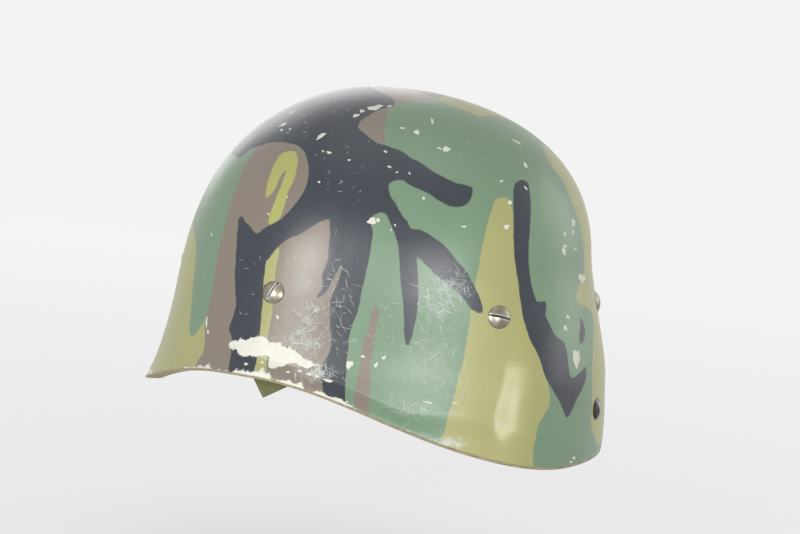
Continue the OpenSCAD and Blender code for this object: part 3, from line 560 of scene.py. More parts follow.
def shell_rows(inset, dome_rows, wall_rows, low):
    """Heights of the rows: even steps along the dome's curve, then shares down the wall to the rim.
    The dome's curve is height rise * cos(t)^(2/n) at reach half width * sin(t)."""
    t = np.linspace(0, np.pi / 2, 4000)
    fine = BELT_Z + (SHELL_H - inset - BELT_Z) * np.cos(t) ** (2 / DOME_N)
    walked = np.append(0, np.cumsum(np.hypot(np.diff(fine), np.diff(HALF_W * np.sin(t)))))
    high = np.interp(np.linspace(0, walked[-1], dome_rows + 1)[1:], walked, fine)
    dome = np.repeat(high[:, None], len(ANGLES), 1)
    s = 1 - (1 - np.linspace(0, 1, wall_rows + 1)[1:, None]) ** 1.3
    wall = BELT_Z + (rim_z(ANGLES) + low - BELT_Z) * s
    return np.vstack([dome, wall])


OUTER_Z = shell_rows(0.0, DOME_ROWS, WALL_ROWS, RIM_BEAD)
OUTER = shell_at(ANGLES, OUTER_Z)
INNER = shell_at(ANGLES, shell_rows(WALL, INNER_ROWS, INNER_ROWS // 2, RIM_BEAD), WALL)

# Map of the outer face: distance down from the crown, laid out flat round it
from_crown = np.concatenate([np.broadcast_to(shell_at(0.0, SHELL_H), (1,) + OUTER.shape[1:]), OUTER])
DEPTH = np.cumsum(np.linalg.norm(np.diff(from_crown, axis=0), axis=-1), 0)
FLAT = np.stack([DEPTH * np.sin(np.radians(ANGLES)), -DEPTH * np.cos(np.radians(ANGLES))], -1)
AROUND_STEP = np.roll(OUTER, -1, 1) - np.roll(OUTER, 1, 1)
NORMALS = unit(np.cross(np.gradient(OUTER, axis=0), AROUND_STEP))
if (NORMALS[DOME_ROWS] * OUTER[DOME_ROWS] * [1, 1, 0]).sum() < 0:
    NORMALS = -NORMALS
FACING = ((EYE - OUTER) * NORMALS).sum(-1) > 0
SEEN_POINTS, SEEN_NORMALS, SEEN_FLAT = OUTER[FACING], NORMALS[FACING], FLAT[FACING]
SEEN_PIXELS = to_pixels(SEEN_POINTS)
SEEN_LOW = (OUTER_Z - rim_z(ANGLES) < 4)[FACING]


def fitted(pixels, values, past_rim=14.0):
    """Value of the shell's face under each pixel: a plane fitted to the eight nearest seen points, carried on
    at most past_rim pixels below the rim."""
    pixels = np.atleast_2d(np.asarray(pixels, float))
    around = ((SEEN_PIXELS > pixels.min(0) - 60) & (SEEN_PIXELS < pixels.max(0) + 60)).all(-1)
    places, values, low = SEEN_PIXELS[around], values[around], SEEN_LOW[around]
    gaps = ((pixels[:, None] - places) ** 2).sum(-1)
    near = np.argpartition(gaps, 8, axis=1)[:, :8]
    closest = gaps.argmin(1)
    away = pixels - places[closest]
    limit = np.where(low[closest], past_rim, 1.5) / np.maximum(np.linalg.norm(away, axis=-1), 1e-9)
    spots = places[closest] + away * np.minimum(1, limit)[:, None]
    base = np.concatenate([places[near] - spots[:, None], np.ones(near.shape + (1,))], -1)
    across = base.transpose(0, 2, 1)
    return np.linalg.solve(across @ base + np.diag([1e-3, 1e-3, 0]), across @ values[near])[:, 2]


def pairs(*numbers):
    """Pairs from numbers that are given in turn."""
    return np.reshape(numbers, (-1, 2))


def seen(*runs):
    """Flat places of pixels of the photograph, given in runs."""
    return fitted(np.vstack([pairs(*np.ravel(run)) for run in runs]), SEEN_FLAT)


def round_back(*numbers):
    """Flat places of (angle, height) pairs on the side that the photograph doesn't show."""
    found = []
    for a, z in pairs(*numbers):
        column = int(abs((ANGLES - a + 180) % 360 - 180).argmin())
        under = max(0.0, OUTER_Z[-1, column] - z)
        reach = np.interp(-z, -OUTER_Z[:, column], DEPTH[:, column]) + under
        found.append([reach * math.sin(math.radians(a)), -reach * math.cos(math.radians(a))])
    return np.array(found)


def smoothed(outline, parts=3):
    """Closed curve through the outline's points, each span a cubic with the neighbours' slope."""
    p, q, r, s = [np.roll(outline, by, 0)[:, None] for by in (1, 0, -1, -2)]
    t = (np.arange(parts) / parts)[None, :, None]
    square, cube = 2 * p - 5 * q + 4 * r - s, 3 * q - p - 3 * r + s
    return (0.5 * (2 * q + (r - p) * t + square * t ** 2 + cube * t ** 3)).reshape(-1, 2)


def inside_by(outlines, reach=9.0):
    """Distance inside the nearest of several closed outlines, negative outside, held at the reach."""
    best = np.full(FLAT.shape[:2], -reach)
    for outline in outlines:
        curve = smoothed(np.vstack(outline))
        low, high = curve.min(0) - reach, curve.max(0) + reach
        near = ((FLAT > low) & (FLAT < high)).all(-1)
        spots = FLAT[near]
        gap = np.full(len(spots), np.inf)
        odd = np.zeros(len(spots), bool)
        for start, end in zip(curve, np.roll(curve, -1, 0)):
            run = end - start
            t = np.clip(((spots - start) @ run) / max(run @ run, 1e-12), 0, 1)
            gap = np.minimum(gap, ((spots - start - t[:, None] * run) ** 2).sum(-1))
            crosses = (start[1] > spots[:, 1]) != (end[1] > spots[:, 1])
            at_x = start[0] + (spots[:, 1] - start[1]) * run[0] / (run[1] if run[1] else 1e-12)
            odd ^= crosses & (spots[:, 0] < at_x)
        signed = np.where(odd, 1, -1) * np.minimum(np.sqrt(gap), reach)
        best[near] = np.maximum(best[near], signed)
    return best


# Boundaries that two paints share, in pixels of the photograph, x and y in turn
TONGUE_LEFT = pairs(193, 222, 195.5, 240, 195, 265, 192.5, 290, 190, 320, 189.5, 330, 192, 337.5)
TONGUE_RIGHT = pairs(198, 331, 205, 320, 210, 300, 214, 280, 217, 260, 220, 240, 224, 230, 228, 213,
    232, 198, 238, 183, 243, 168, 250, 156, 256, 147)
BLOB_EDGE = pairs(260, 146, 268, 143, 278, 142, 293, 144, 299, 147, 303, 151, 306, 156, 309, 170, 307, 184,
    301, 196, 293, 207, 282, 218, 275, 223, 268, 226, 256, 233.5, 250, 226, 245, 221, 240, 216)
LEG_LEFT = pairs(237.5, 228, 236, 255, 234.5, 275, 235.5, 295, 236, 305, 232, 320, 229, 328, 232, 340,
    231, 353, 228, 370, 228, 384)
LEG_RIGHT = pairs(254, 386, 254, 371, 257, 358, 260, 336, 261, 320, 262.5, 305, 263.5, 283, 265, 268,
    266, 262, 270, 257, 280, 245, 290, 238, 297, 236, 308, 229, 318, 223, 329, 219)
MIDDLE_BROWN_RIGHT = pairs(330, 220, 329.5, 240, 327.5, 260, 325, 268, 322, 275, 322, 288, 316, 297,
    320, 297, 327, 291, 331, 283, 336, 273, 342, 265, 340, 275, 337, 284, 332, 296, 330, 305, 330, 320,
    331, 345, 328, 355, 323, 365, 321, 375, 322, 381, 323, 390)
ARM_EDGE = pairs(325, 401, 333, 407, 344, 411, 345, 397, 346, 370, 348, 350, 351, 330, 358, 310, 362, 290,
    367, 268, 371, 245, 373, 232, 371, 224, 371, 218, 374, 215, 380, 212.5, 386, 214, 389, 220, 393, 229,
    397, 240, 399.5, 260, 401, 285, 403.5, 305, 404, 325, 405, 340, 407, 347, 411, 340, 414, 328, 417, 313,
    418.5, 294, 418, 279, 417, 264, 418, 257, 425, 264, 431, 270, 437, 276, 446, 283.5, 455, 291,
    464.5, 299, 470.5, 308, 476.5, 313, 481, 313.5, 483, 309.5, 480.5, 299, 475, 287, 467.5, 273, 458, 261,
    449, 251, 440, 242, 428, 233, 418.5, 229, 411, 228, 407, 221, 403, 216, 400, 211, 393, 200, 390, 195,
    389, 187, 390, 183.5, 394, 181, 400, 180, 404, 180.5, 408, 184, 415, 188, 428, 193, 438, 201, 449, 206,
    458, 207, 467.5, 204, 472, 196, 473, 188.7, 470, 186.5, 452, 181, 434, 172, 420, 162, 410, 157,
    400, 150.5, 390, 147, 384, 145)
TOP_PATCH = pairs(378, 143.5, 372, 140, 367, 135.5, 362, 131, 358, 127, 361, 120, 368, 116, 376, 111,
    384, 108.5, 393, 105.5)
RIGHT_BAND = pairs(516.5, 182, 522.5, 180.5, 528, 183.5, 530, 193, 531, 209, 530, 227, 528.7, 245,
    528.7, 264, 531, 282, 535, 297, 538, 302, 545.5, 301, 546.5, 308, 545.5, 316, 550, 325, 556, 336,
    564, 342, 567, 352, 568.5, 365, 571.5, 378, 581, 371, 585.5, 366, 586, 378, 582, 389, 576, 401,
    570, 414, 566, 418, 564, 412, 559, 401, 552, 389, 545.5, 377, 541, 362, 535, 349, 529, 337, 524, 322,
    521, 306.5, 519, 291, 516.5, 270, 514, 251, 513.5, 227, 513.5, 202, 514, 187)
TONGUE_FOOT = pairs(205, 322, 205, 340, 203, 353, 197, 362, 192, 378)
STRIPE_EDGE = pairs(278, 258, 276, 270, 275, 280, 273, 306, 270, 325, 268, 337, 267, 357, 266, 373)

# Each paint's outlines: closed lines of one or more parts
OLIVE_OUTLINES = [
    # Brow, from the green tongue round to the wearer's right
    [seen(TONGUE_LEFT, (198, 331), TONGUE_FOOT),
     round_back(46, -12, 20, -14, -8, -14, -26, -12, -27, 10, -20, 40, -13, 72, -4, 98, 8, 112)],
    # Stripe between the black leg and the brown
    [seen((279.5, 251), STRIPE_EDGE, (265, 388, 250, 384, 252, 360, 255, 330, 257, 300, 259, 275, 264, 258,
         272, 250, 280, 243))],
    # Wide stripe under the rear side screw
    [seen((502.7, 197, 509, 199, 512, 209, 515, 227, 517, 251, 520, 276, 523, 294, 526, 313, 529, 331,
         534, 346, 541, 365, 547, 380, 550, 395, 548.5, 407, 541, 420, 536.5, 432, 533, 464, 533, 476,
         470, 470, 438, 448, 444.5, 432, 447.5, 417, 454, 398, 458, 380, 463, 362, 467.5, 337, 470.5, 313,
         473.5, 294, 478, 270, 482, 248, 486, 230, 490.5, 212, 495, 201))],
    # Nape, seen at the right of the photograph
    [seen((541, 143, 545.5, 153.5, 552, 167, 559, 175, 565.5, 186, 571.5, 202, 578, 218, 582, 236, 584, 255,
         584, 273, 579, 285, 576, 297, 578, 303, 587, 308, 593, 318, 593, 345, 592, 372, 592, 400, 591, 420,
         593, 434, 599, 446)),
     round_back(-178, 14, -172, 40, -170, 70, -174, 100, -170, 128, -176, 156, 178, 166)],
    # Crown, small patches at the top of the photograph
    [seen((336, 100, 338, 95, 342, 91, 350, 89, 370, 88, 362, 91, 354, 93, 350, 97, 343, 100))],
    [seen((437, 97, 446, 104, 458, 108, 471, 113, 482, 116)),
     round_back(-168, 176, -158, 170, -140, 172, -126, 180, -140, 186)],
    # Wearer's right side
    [round_back(-66, 150, -60, 120, -57, 90, -60, 60, -63, 28, -78, 28, -80, 60, -76, 92, -74, 125,
         -78, 150, -84, 168, -74, 170)],
    [round_back(-128, 120, -123, 92, -124, 60, -120, 30, -118, 0, -142, -12, -143, 28, -139, 62, -141, 96,
         -137, 124, -133, 132)],
]
BROWN_OUTLINES = [
    [seen(BLOB_EDGE, LEG_LEFT, (200, 386), TONGUE_FOOT[::-1], TONGUE_RIGHT[2:])],
    [seen(LEG_RIGHT[10:15] - [4, 5], MIDDLE_BROWN_RIGHT[:6] + [4, 0], (322, 292), MIDDLE_BROWN_RIGHT[7:],
         (322, 404, 266, 392), STRIPE_EDGE[::-1], (279.5, 251))],
    [seen((384, 148), TOP_PATCH[0:1], (366, 138, 352, 128, 356, 116, 366, 111, 378, 106, 384, 100,
         384, 90)),
     round_back(-80, 184, -110, 180, -128, 182, -150, 187),
     seen((440, 97, 432, 99, 415, 101, 402, 103, 393, 105.5, 388, 113, 385.5, 121, 385, 130))],
    [seen((374, 307, 370, 320, 366, 335, 362, 350, 360, 365, 356, 385, 354, 403, 360, 420, 369, 422,
         369, 405, 371, 375, 370, 366, 373, 350, 376, 330, 379, 310))],
    # Wearer's right side
    [round_back(-30, 130, -36, 100, -38, 60, -42, 20, -60, 26, -58, 60, -54, 92, -46, 128, -40, 150)],
    [round_back(-92, 146, -88, 110, -88, 70, -90, 28, -104, 24, -103, 62, -104, 104, -108, 134, -102, 156)],
    [round_back(-152, 130, -148, 100, -150, 60, -152, 20, -150, -12, -164, -12, -163, 24, -162, 66,
         -162, 104, -160, 134)],
]
LOOP_OUTLINES = [
    [seen((265.5, 197.5, 266, 190, 268, 182, 271, 172, 275, 163, 280, 155, 285, 152, 290, 151, 295, 151.5,
         297, 155, 298, 162, 296, 173, 294, 180, 290, 188, 287, 196, 284, 208, 280, 218, 275, 222,
         269.5, 224.5, 269, 218, 273, 206, 277, 195, 281, 186, 285, 175, 286.5, 171, 284, 171.5, 282, 174,
         279, 179, 276, 187, 273, 192, 268, 197))],
]
BLACK_OUTLINES = [
    [seen((232, 155, 239, 158, 249, 150, 256, 147), BLOB_EDGE, LEG_LEFT, LEG_RIGHT, MIDDLE_BROWN_RIGHT,
         ARM_EDGE, TOP_PATCH, (392, 98)),
     round_back(60, 190, -60, 186, -50, 174, -70, 160, -58, 140, -44, 152, -36, 168, -22, 160, -18, 138,
         -10, 120, -2, 128, 6, 146, 16, 150)],
    [seen(RIGHT_BAND)],
    [seen((579.5, 318, 583, 321, 585, 330, 584, 341, 580, 344, 579, 335, 580.5, 327))],
    # Wearer's right side and nape
    [round_back(-64, 176, -66, 150, -70, 118, -69, 84, -74, 50, -76, 26, -86, 28, -84, 60, -81, 94,
         -86, 122, -98, 132, -101, 100, -103, 70, -110, 60, -108, 92, -108, 128, -98, 156, -90, 176)],
    [round_back(-120, 150, -114, 124, -112, 90, -114, 58, -117, 30, -126, 30, -123, 62, -121, 94, -126, 118,
         -138, 110, -146, 88, -152, 92, -146, 122, -136, 146)],
    [round_back(-160, 60, -156, 34, -158, 4, -168, 2, -171, 30, -168, 62, -170, 90, -164, 92)],
    [round_back(-30, 66, -31, 40, -34, 8, -42, 12, -43, 44, -40, 76, -42, 104, -34, 106)],
]
BARE_OUTLINES = [
    # The large patch over the rim's edge
    [seen((228.5, 344, 231, 342, 236, 340.5, 240, 339, 246, 339.5, 254, 337, 260, 336, 267, 339, 270, 342,
         279, 342.5, 284, 345, 290, 347, 297, 353, 305, 358, 312, 361, 322, 366, 312, 367, 300, 366,
         292, 363, 285, 366, 275, 368, 269, 368, 268, 362, 267, 357, 256, 356.5, 250, 355, 247, 357,
         243, 357, 239, 354, 236, 350, 232, 350, 229.5, 347))],
    # Flaked strip along the rim
    [seen((146, 374, 152, 372.5, 160, 371.3, 168, 370.3, 176, 369, 184, 367.5, 190, 366.3, 196, 365.8,
         203, 366, 206, 365, 208.6, 363.8, 211, 366.5, 213, 369, 220, 369.8, 228, 370.3, 233, 371,
         236, 369.5, 241, 369.3, 244.7, 370, 249, 372, 254, 372, 257.5, 371.6, 260, 370, 262.8, 368.9,
         265, 371, 267, 373.5, 270, 375, 272, 378.5, 275, 379.6, 283, 379.5, 286, 380, 289, 381,
         293.5, 384.5, 296, 385.5, 298.5, 382.5, 300.7, 382.3, 304, 389, 309, 390.5, 313.7, 391, 318, 390,
         321, 390.2, 325.6, 394, 330, 397, 337.5, 398.5, 344.6, 401, 351.8, 404.6, 356.5, 409, 359, 412.5,
         368, 417.5, 380, 422.8, 390, 427.5, 400, 432, 404, 430.3, 407, 429.6, 410, 433.5, 420, 440.5,
         432, 445, 445, 449, 460, 453, 470, 455.5)),
     round_back(134, -6, 120, 8, 100, 22, 84, 30, 60, 26, 40, 6, 10, -14, 0, -14)],
]


# Pixel, spread across and down, and how much of each rubbed place; most of them are also where a sheen of the
# lamps is painted
RUBBED_AND_SHEEN_PLACES = [(440, 298, 26, 26, 1.0), (434, 350, 26, 44, 0.8), (305, 330, 22, 44, 1.0),
    (338, 310, 18, 46, 0.5), (345, 180, 40, 40, 0.2), (420, 410, 44, 10, 0.8), (312, 374, 26, 12, 1.1),
    (455, 285, 22, 12, 1.0), (446, 443, 30, 6, 1.2), (380, 340, 18, 50, 0.4), (330, 270, 10, 30, 0.6)]


def rim_wear():
    """Inside distance of the paint's loss along the rim: height over it less a wavy limit, held low where the
    outline follows the photograph."""
    over = OUTER_Z - rim_z(ANGLES)
    a = np.radians(ANGLES)
    limit = 2.0 + 0.8 * np.sin(7 * a + 1) + 0.7 * np.sin(17 * a + 2) + 0.5 * np.sin(41 * a)
    limit = limit - share(128, 146, abs(ANGLES)) * 1.6
    drawn = share(8, 20, ANGLES) * (1 - share(150, 165, ANGLES))
    return np.clip(limit * (1 - drawn) + (0.2 + 0.25 * np.sin(23 * a)) * drawn - over, -9, 2)


def wear_and_sheen_share():
    """How rubbed the paint is, with painted sheen: soft round patches at named pixels, and a little
    everywhere.
    """
    pixels = to_pixels(OUTER)
    total = np.full(OUTER.shape[:2], 0.10)
    for x, y, wide, high, amount in RUBBED_AND_SHEEN_PLACES:
        spread = ((pixels[..., 0] - x) / wide) ** 2 + ((pixels[..., 1] - y) / high) ** 2
        total = np.maximum(total, np.where(FACING, amount * np.exp(-spread), 0))
    far = share(20, 70, OUTER_Z) * (1 - share(100, 150, OUTER_Z)) * 0.45
    return np.maximum(total, np.where(FACING, 0, far))


def shell_skin():
    """Outer face, rim and inner face in one, with the paints' distances as marks on the outer one."""
    outer_marks = {"inner": (np.zeros(OUTER.shape[:2]), 1.0), "wear_and_sheen": (wear_and_sheen_share(), 0.0),
                   "bare": (np.maximum(inside_by(BARE_OUTLINES), rim_wear()), -9.0)}
    for name, outlines in (("olive", OLIVE_OUTLINES), ("brown", BROWN_OUTLINES), ("loop", LOOP_OUTLINES),
                           ("black", BLACK_OUTLINES)):
        outer_marks[name] = inside_by(outlines), -9.0
    marks = {name: np.vstack([outer, np.full(INNER.shape[:2], inner)])
             for name, (outer, inner) in outer_marks.items()}
    return skin(np.concatenate([OUTER, INNER[::-1]]), "cap", marks)


piece("helmet_shell", [shell_skin()], CAMOUFLAGE, "shell", ["shell"])


def rim_edge():
    """Rounded laminate edge under the paint: a small profile carried round the rim, held over the floor."""
    z = rim_z(ANGLES)
    outer, inner = shell_at(ANGLES, z + RIM_BEAD), shell_at(ANGLES, z + RIM_BEAD, WALL)
    low_out, low_in = shell_at(ANGLES, z), shell_at(ANGLES, z, WALL)
    t = np.linspace(0.06, 0.94, 9)
    under_edge = low_out[:, None] * (1 - t)[:, None] + low_in[:, None] * t[:, None]
    under_edge[..., 2] -= 0.55 * np.minimum(1, 12 * t * (1 - t))
    down = np.array([0, 0, 0.1])
    first = np.stack([outer, (outer + low_out) / 2, low_out - down], 1)
    last = np.stack([low_in - down, (inner + low_in) / 2, inner], 1)
    profile = np.concatenate([first, under_edge, last], 1)
    profile += np.maximum(-stand(profile)[..., 2:], 0) * FLOOR_UP
    return skin(profile, "loop")


piece("rim_edge", [rim_edge()], EDGE, "shell", ["edge_bead"])

# Screws: angle, height and turn of the slot
SCREWS = [(0, 84.3, 30), (74, 84.3, -22), (133.3, 80.8, 80), (180, 80.8, 10), (-133.3, 80.8, 55),
          (-74, 84.3, -40)]
NAPE_A, NAPE_Z = 164.6, 27.6
NAPE_SCREWS = [(NAPE_A, NAPE_Z, 15), (-NAPE_A, NAPE_Z, 70)]
HEAD_R, HEAD_H, SLOT_W, SLOT_FLOOR, SPOT = 6.35, 2.6, 1.3, 0.9, 0.25


def screw_head(a, z, slot_turn):
    """Domed head: rows of chords across a disc, height a ball's cap, sunk by a slot along the middle."""
    ball = (HEAD_R ** 2 + HEAD_H ** 2) / (2 * HEAD_H)
    half = SLOT_W / 2
    outer_rows = HEAD_R * np.cos(np.linspace(0.02, np.pi / 2, 14))[:-1]
    slot_rows = half + np.array([-0.06, 0, 0.1, 0.3, 0.7])
    rows = np.sort(np.concatenate([-outer_rows, -slot_rows, [0], slot_rows, outer_rows]))[:, None]
    x = np.sqrt(np.maximum(HEAD_R ** 2 - rows ** 2, 0)) * np.cos(np.linspace(np.pi, 0, 26))
    y = np.broadcast_to(rows, x.shape)
    dome = HEAD_H - ball + np.sqrt(ball ** 2 - x ** 2 - y ** 2)
    in_slot = share(half + 0.1, half - 0.02, abs(y))
    top = np.maximum(dome - in_slot * np.maximum(0, dome - SLOT_FLOOR), 0.05)
    high = np.concatenate([top, np.full_like(top, -0.1)], 1) - SPOT
    x, y = np.concatenate([x, x[:, ::-1]], 1), np.concatenate([y, y], 1)
    off_middle, from_middle = abs(y), np.hypot(x, y)
    past_edge = share(half + 0.3, half + 0.7, off_middle)
    # Marks for painted shade at the head's edge and in its slot, and for a painted glint on the slot's edges
    marks = {"rim_painted_shade": share(0.88 * HEAD_R, 0.99 * HEAD_R, from_middle),
             "slot_painted_shade": 1 - share(half - 0.16, half + 0.02, off_middle),
             "slot_edge_glint": share(half, half + 0.1, off_middle) * (1 - past_edge)}
    c, s = math.cos(math.radians(slot_turn)), math.sin(math.radians(slot_turn))
    n = shell_normal(a, z)
    tilt, swing = math.acos(n[2]), math.atan2(n[1], n[0])
    down = np.array([math.cos(tilt) * math.cos(swing), math.cos(tilt) * math.sin(swing), -math.sin(tilt)])
    side = np.array([-math.sin(swing), math.cos(swing), 0])
    flat = (x * c - y * s)[..., None] * down + (x * s + y * c)[..., None] * side
    return skin(shell_at(a, z) + flat + high[..., None] * n, "cap", marks)


piece("screw_heads", [screw_head(*s) for s in SCREWS], SCREW_METAL, "shell",
      ["suspension_screws"])
piece("nape_screw_heads", [screw_head(*s) for s in NAPE_SCREWS], DARK_SCREW, "shell",
      ["nape_screws"])

# Chips and scratches in the paint, as thin patches on it. Each ring: share of the size, height over it
CHIP_RINGS = ((1.0, -0.1), (0.96, 0.05), (0.6, 0.06), (0.3, 0.06))
SCRATCH_RINGS = ((1.0, -0.1), (0.9, 0.03), (0.4, 0.04))
# Pixel, length, width in pixels and turn of each chip on the side that the photograph shows
CHIP_PLACES = [(321, 136, 11, 3.5, -35), (356, 115.5, 7, 3, -15), (362, 111, 5, 3, 0),
    (375, 107.5, 16, 4.5, -12), (389.5, 106, 5, 1.6, -10), (283, 124.5, 9, 2.5, -25), (281.5, 130, 3, 2, 0),
    (290, 129, 2.5, 1.6, 0), (292, 112.5, 7, 2.4, -20), (329, 152.5, 5, 2.4, 10), (323, 151, 2.4, 1.8, 0),
    (385.5, 151.5, 4, 2, 25), (389.5, 166.8, 4.4, 2, 20), (397, 172.3, 3, 1.4, -10),
    (409.5, 173.4, 3, 1.6, 60), (349, 160, 3, 2, 0), (319, 182, 3, 2, 30), (402.6, 128, 5, 1.8, 5),
    (416.7, 132, 6.2, 4.6, 15), (432.3, 121, 6, 2.6, 80), (446.5, 149, 7.6, 5.4, 0),
    (439.5, 148.3, 6, 1.6, 20), (423.7, 198.2, 3.2, 2.8, 60), (464, 226.5, 5.5, 1.8, -2),
    (372, 221, 9, 7, -10), (378, 220, 4, 4, 0), (506.7, 226.8, 5, 5.6, 80), (510, 202.5, 4.5, 4, 40),
    (501.5, 181, 4.5, 1.6, -25), (525.5, 165, 6.5, 2.8, 60), (525.8, 188, 5, 1.6, 50),
    (517, 142, 10, 1.8, 28), (573.5, 222.5, 8, 3.4, 88), (573, 232, 5, 2.2, 88), (564.8, 234, 4.5, 2, 85),
    (564, 251, 9.5, 3, 82), (565.3, 246, 4, 2.2, 40), (575.3, 249, 2.6, 2, 0), (582, 278, 8.5, 7, 70),
    (576.5, 358, 18, 7, 88), (568, 317, 5, 2.6, 60), (565.5, 328, 6, 3.5, 80), (574, 458, 3, 3, 0),
    (571, 462, 2.6, 2, 20), (211.5, 234.5, 3, 1.6, 80), (287, 197, 2.2, 1.4, 0), (268.5, 214, 3, 1.6, 60),
    (206.5, 322, 12, 1.8, 92), (208, 332, 4, 2, 80), (277.5, 317, 4.5, 2.4, 70),
    (349.5, 364.5, 9, 6.5, -50), (363, 356.5, 4.5, 2.6, 20), (376, 365, 6, 3.2, -60),
    (384, 357.5, 5, 3, -40), (328, 380.5, 10, 3, 15), (428, 402.5, 11, 1.6, 12), (509, 417, 3.6, 1.5, 40),
    (498.3, 424, 4.5, 1.3, 85), (395, 225, 3, 1.6, 60), (391, 230, 3.4, 1.2, -50), (455, 403, 7, 1.2, 10),
    (309, 374, 6, 3, 10), (300, 371, 5, 2.6, 5), (288, 372, 4, 2, 0), (317, 376, 5, 3, 15),
    (246, 364, 4, 2.6, 0), (262, 362, 3.5, 2.4, 20)]
# Angle, height, length, width in millimetres and turn of those on the other side
FAR_CHIPS = [(-20, 140, 5, 2, 20), (-35, 90, 4, 2.5, 60), (-50, 120, 7, 3, -20), (-64, 70, 4, 1.6, 80),
    (-70, 150, 5, 3, 10), (-84, 110, 6, 2, -30), (-96, 60, 8, 5, 40), (-104, 140, 4, 2, 0),
    (-112, 90, 5, 3, 70), (-125, 120, 3, 2, 20), (-130, 50, 7, 3, -60), (-142, 140, 6, 2, 30),
    (-150, 80, 4, 3, 10), (-158, 40, 5, 4, 80), (-166, 110, 6, 3, -10), (-174, 70, 4, 2, 50),
    (-30, 160, 4, 2, 0), (-90, 165, 6, 2.4, 45), (-140, 165, 4, 2, 80), (-60, 40, 6, 3, 10)]
# Middle of each rubbed place in pixels, its spread, its count of scratches and their longest length
SCRATCH_GROUPS = [(440, 298, 20, 24, 46, 20), (308, 330, 18, 30, 90, 16), (436, 372, 24, 34, 60, 26),
    (316, 372, 18, 8, 50, 12), (342, 310, 12, 40, 36, 14), (350, 185, 34, 30, 12, 7),
    (306, 270, 14, 18, 22, 12), (384, 330, 12, 36, 18, 14), (458, 285, 16, 14, 34, 12),
    (420, 408, 26, 7, 40, 10), (470, 150, 50, 30, 14, 7), (250, 270, 12, 30, 8, 8),
    (330, 130, 40, 20, 14, 7), (442, 441, 26, 3, 44, 8)]


def ragged_disc(long, short, turn, seed, rings=CHIP_RINGS, around=20):
    """Rings of a long disc whose edge wanders by three waves and which is turned in its plane: places across
    and up, and heights over it."""
    t = np.linspace(0, 2 * np.pi, around, endpoint=False)
    edge = (1 + 0.16 * np.sin(3 * t + seed) + 0.12 * np.sin(5 * t + 2.3 * seed)
            + 0.08 * np.sin(9 * t + 4.1 * seed))
    part, high = np.array(rings).T[..., None]
    u, v = part * edge * np.cos(t) * long / 2, part * edge * np.sin(t) * short / 2
    c, s = math.cos(turn), math.sin(turn)
    return u * c - v * s, u * s + v * c, high[..., None]


def laid_by_pixels(x, y, disc):
    """A disc in the photograph's plane, laid on the shell under its pixels."""
    across, up, high = disc
    pixels = np.stack([x + across, y + up], -1).reshape(-1, 2)
    points, normals = [fitted(pixels, values, 0.5).reshape(across.shape + (3,))
                       for values in (SEEN_POINTS, SEEN_NORMALS)]
    return skin(points + high * unit(normals))


def laid_by_angle(a, z, disc):
    """A disc laid on the shell about an angle and a height, its sizes in millimetres."""
    across, up, high = disc
    centre = shell_at(a, z)
    angles = a + across / np.linalg.norm(shell_at(a + 1, z) - centre)
    heights = z + up / np.linalg.norm(shell_at(a, z + 1) - centre)
    return skin(shell_at(angles, heights) + high * shell_normal(angles, heights))


def scratches():
    """Fine strokes about the rubbed places, in a fixed drawn order, and a few round the other side."""
    draw = np.random.default_rng(11)
    skins = []
    for x, y, wide, tall, count, longest in SCRATCH_GROUPS:
        spots = draw.normal(0, 0.62, (count, 2)) * [wide, tall] + [x, y]
        turns = np.radians(draw.choice([-62, 58, 8, 76, -25], count) + draw.normal(0, 11, count))
        longs = longest * (0.25 + 0.75 * draw.random(count) ** 1.6)
        shorts = 0.28 + 0.38 * draw.random(count) ** 2
        for seed, (spot, turn, long, short) in enumerate(zip(spots, turns, longs, shorts)):
            skins.append(laid_by_pixels(*spot, ragged_disc(long, short, turn, seed, SCRATCH_RINGS, 10)))
    for seed in range(90):
        a, z = draw.uniform(-176, -12), draw.uniform(40, 150)
        long, turn = draw.uniform(2, 9), draw.uniform(0, math.pi)
        skins.append(laid_by_angle(a, z, ragged_disc(long, 0.3, turn, seed, SCRATCH_RINGS, 10)))
    return skins


seen_chips, far_chips = [[laid(a, b, ragged_disc(long, short, math.radians(turn), seed))
                          for seed, (a, b, long, short, turn) in enumerate(chips)]
                         for laid, chips in ((laid_by_pixels, CHIP_PLACES), (laid_by_angle, FAR_CHIPS))]
piece("paint_chips", seen_chips + far_chips, CHIPS, "shell")
piece("paint_scratches", scratches(), SCRATCHED, "shell", smooth=False)


# Webbing inside the shell
def lengths(points):
    """Distance along a line of points, from its start, with one more for a closed line's last span."""
    around = np.linalg.norm(np.diff(np.vstack([points, points[:1]]), axis=0), axis=-1)
    return np.concatenate([[0], np.cumsum(around)])


def ribbon(middle, across, out, width, thick, soft=0.35, rows=9):
    """Flat strap: a rounded rectangle carried along its middle line, in its directions across and out."""
    v = np.linspace(-1, 1, rows)
    high = thick / 2 * (1 - soft * (abs(v) > 0.99)) + (1 - v ** 2) * 0.08 * thick
    profile = np.stack([np.append(v, v[::-1]) * width / 2, np.append(high, -high)], -1)
    grid = middle[:, None] + profile[:, :1] * across[:, None] + profile[:, 1:] * out[:, None]
    return grid, (lengths(middle), np.append(profile[:, 0], profile[0, 0]))


def ring_strap(inset_out, inset_in, low, high, angles, ends="loop"):
    """Strap that follows the shell between two depths under its face, from height low to high."""
    levels = np.linspace(high, low, 9)
    grid = np.concatenate([shell_at(angles[:, None], levels, inset_out),
                           shell_at(angles[:, None], levels[::-1], inset_in)], 1)
    grid[:, [0, 8]] += 0.3 * (grid[:, [17, 9]] - grid[:, [0, 8]])
    grid[:, [17, 9]] += 0.3 * (grid[:, [0, 8]] - grid[:, [17, 9]])
    across = np.concatenate([levels, levels[::-1], levels[:1]]) - (low + high) / 2
    return skin(grid, ends, None, (lengths(grid[:, 4]), across))


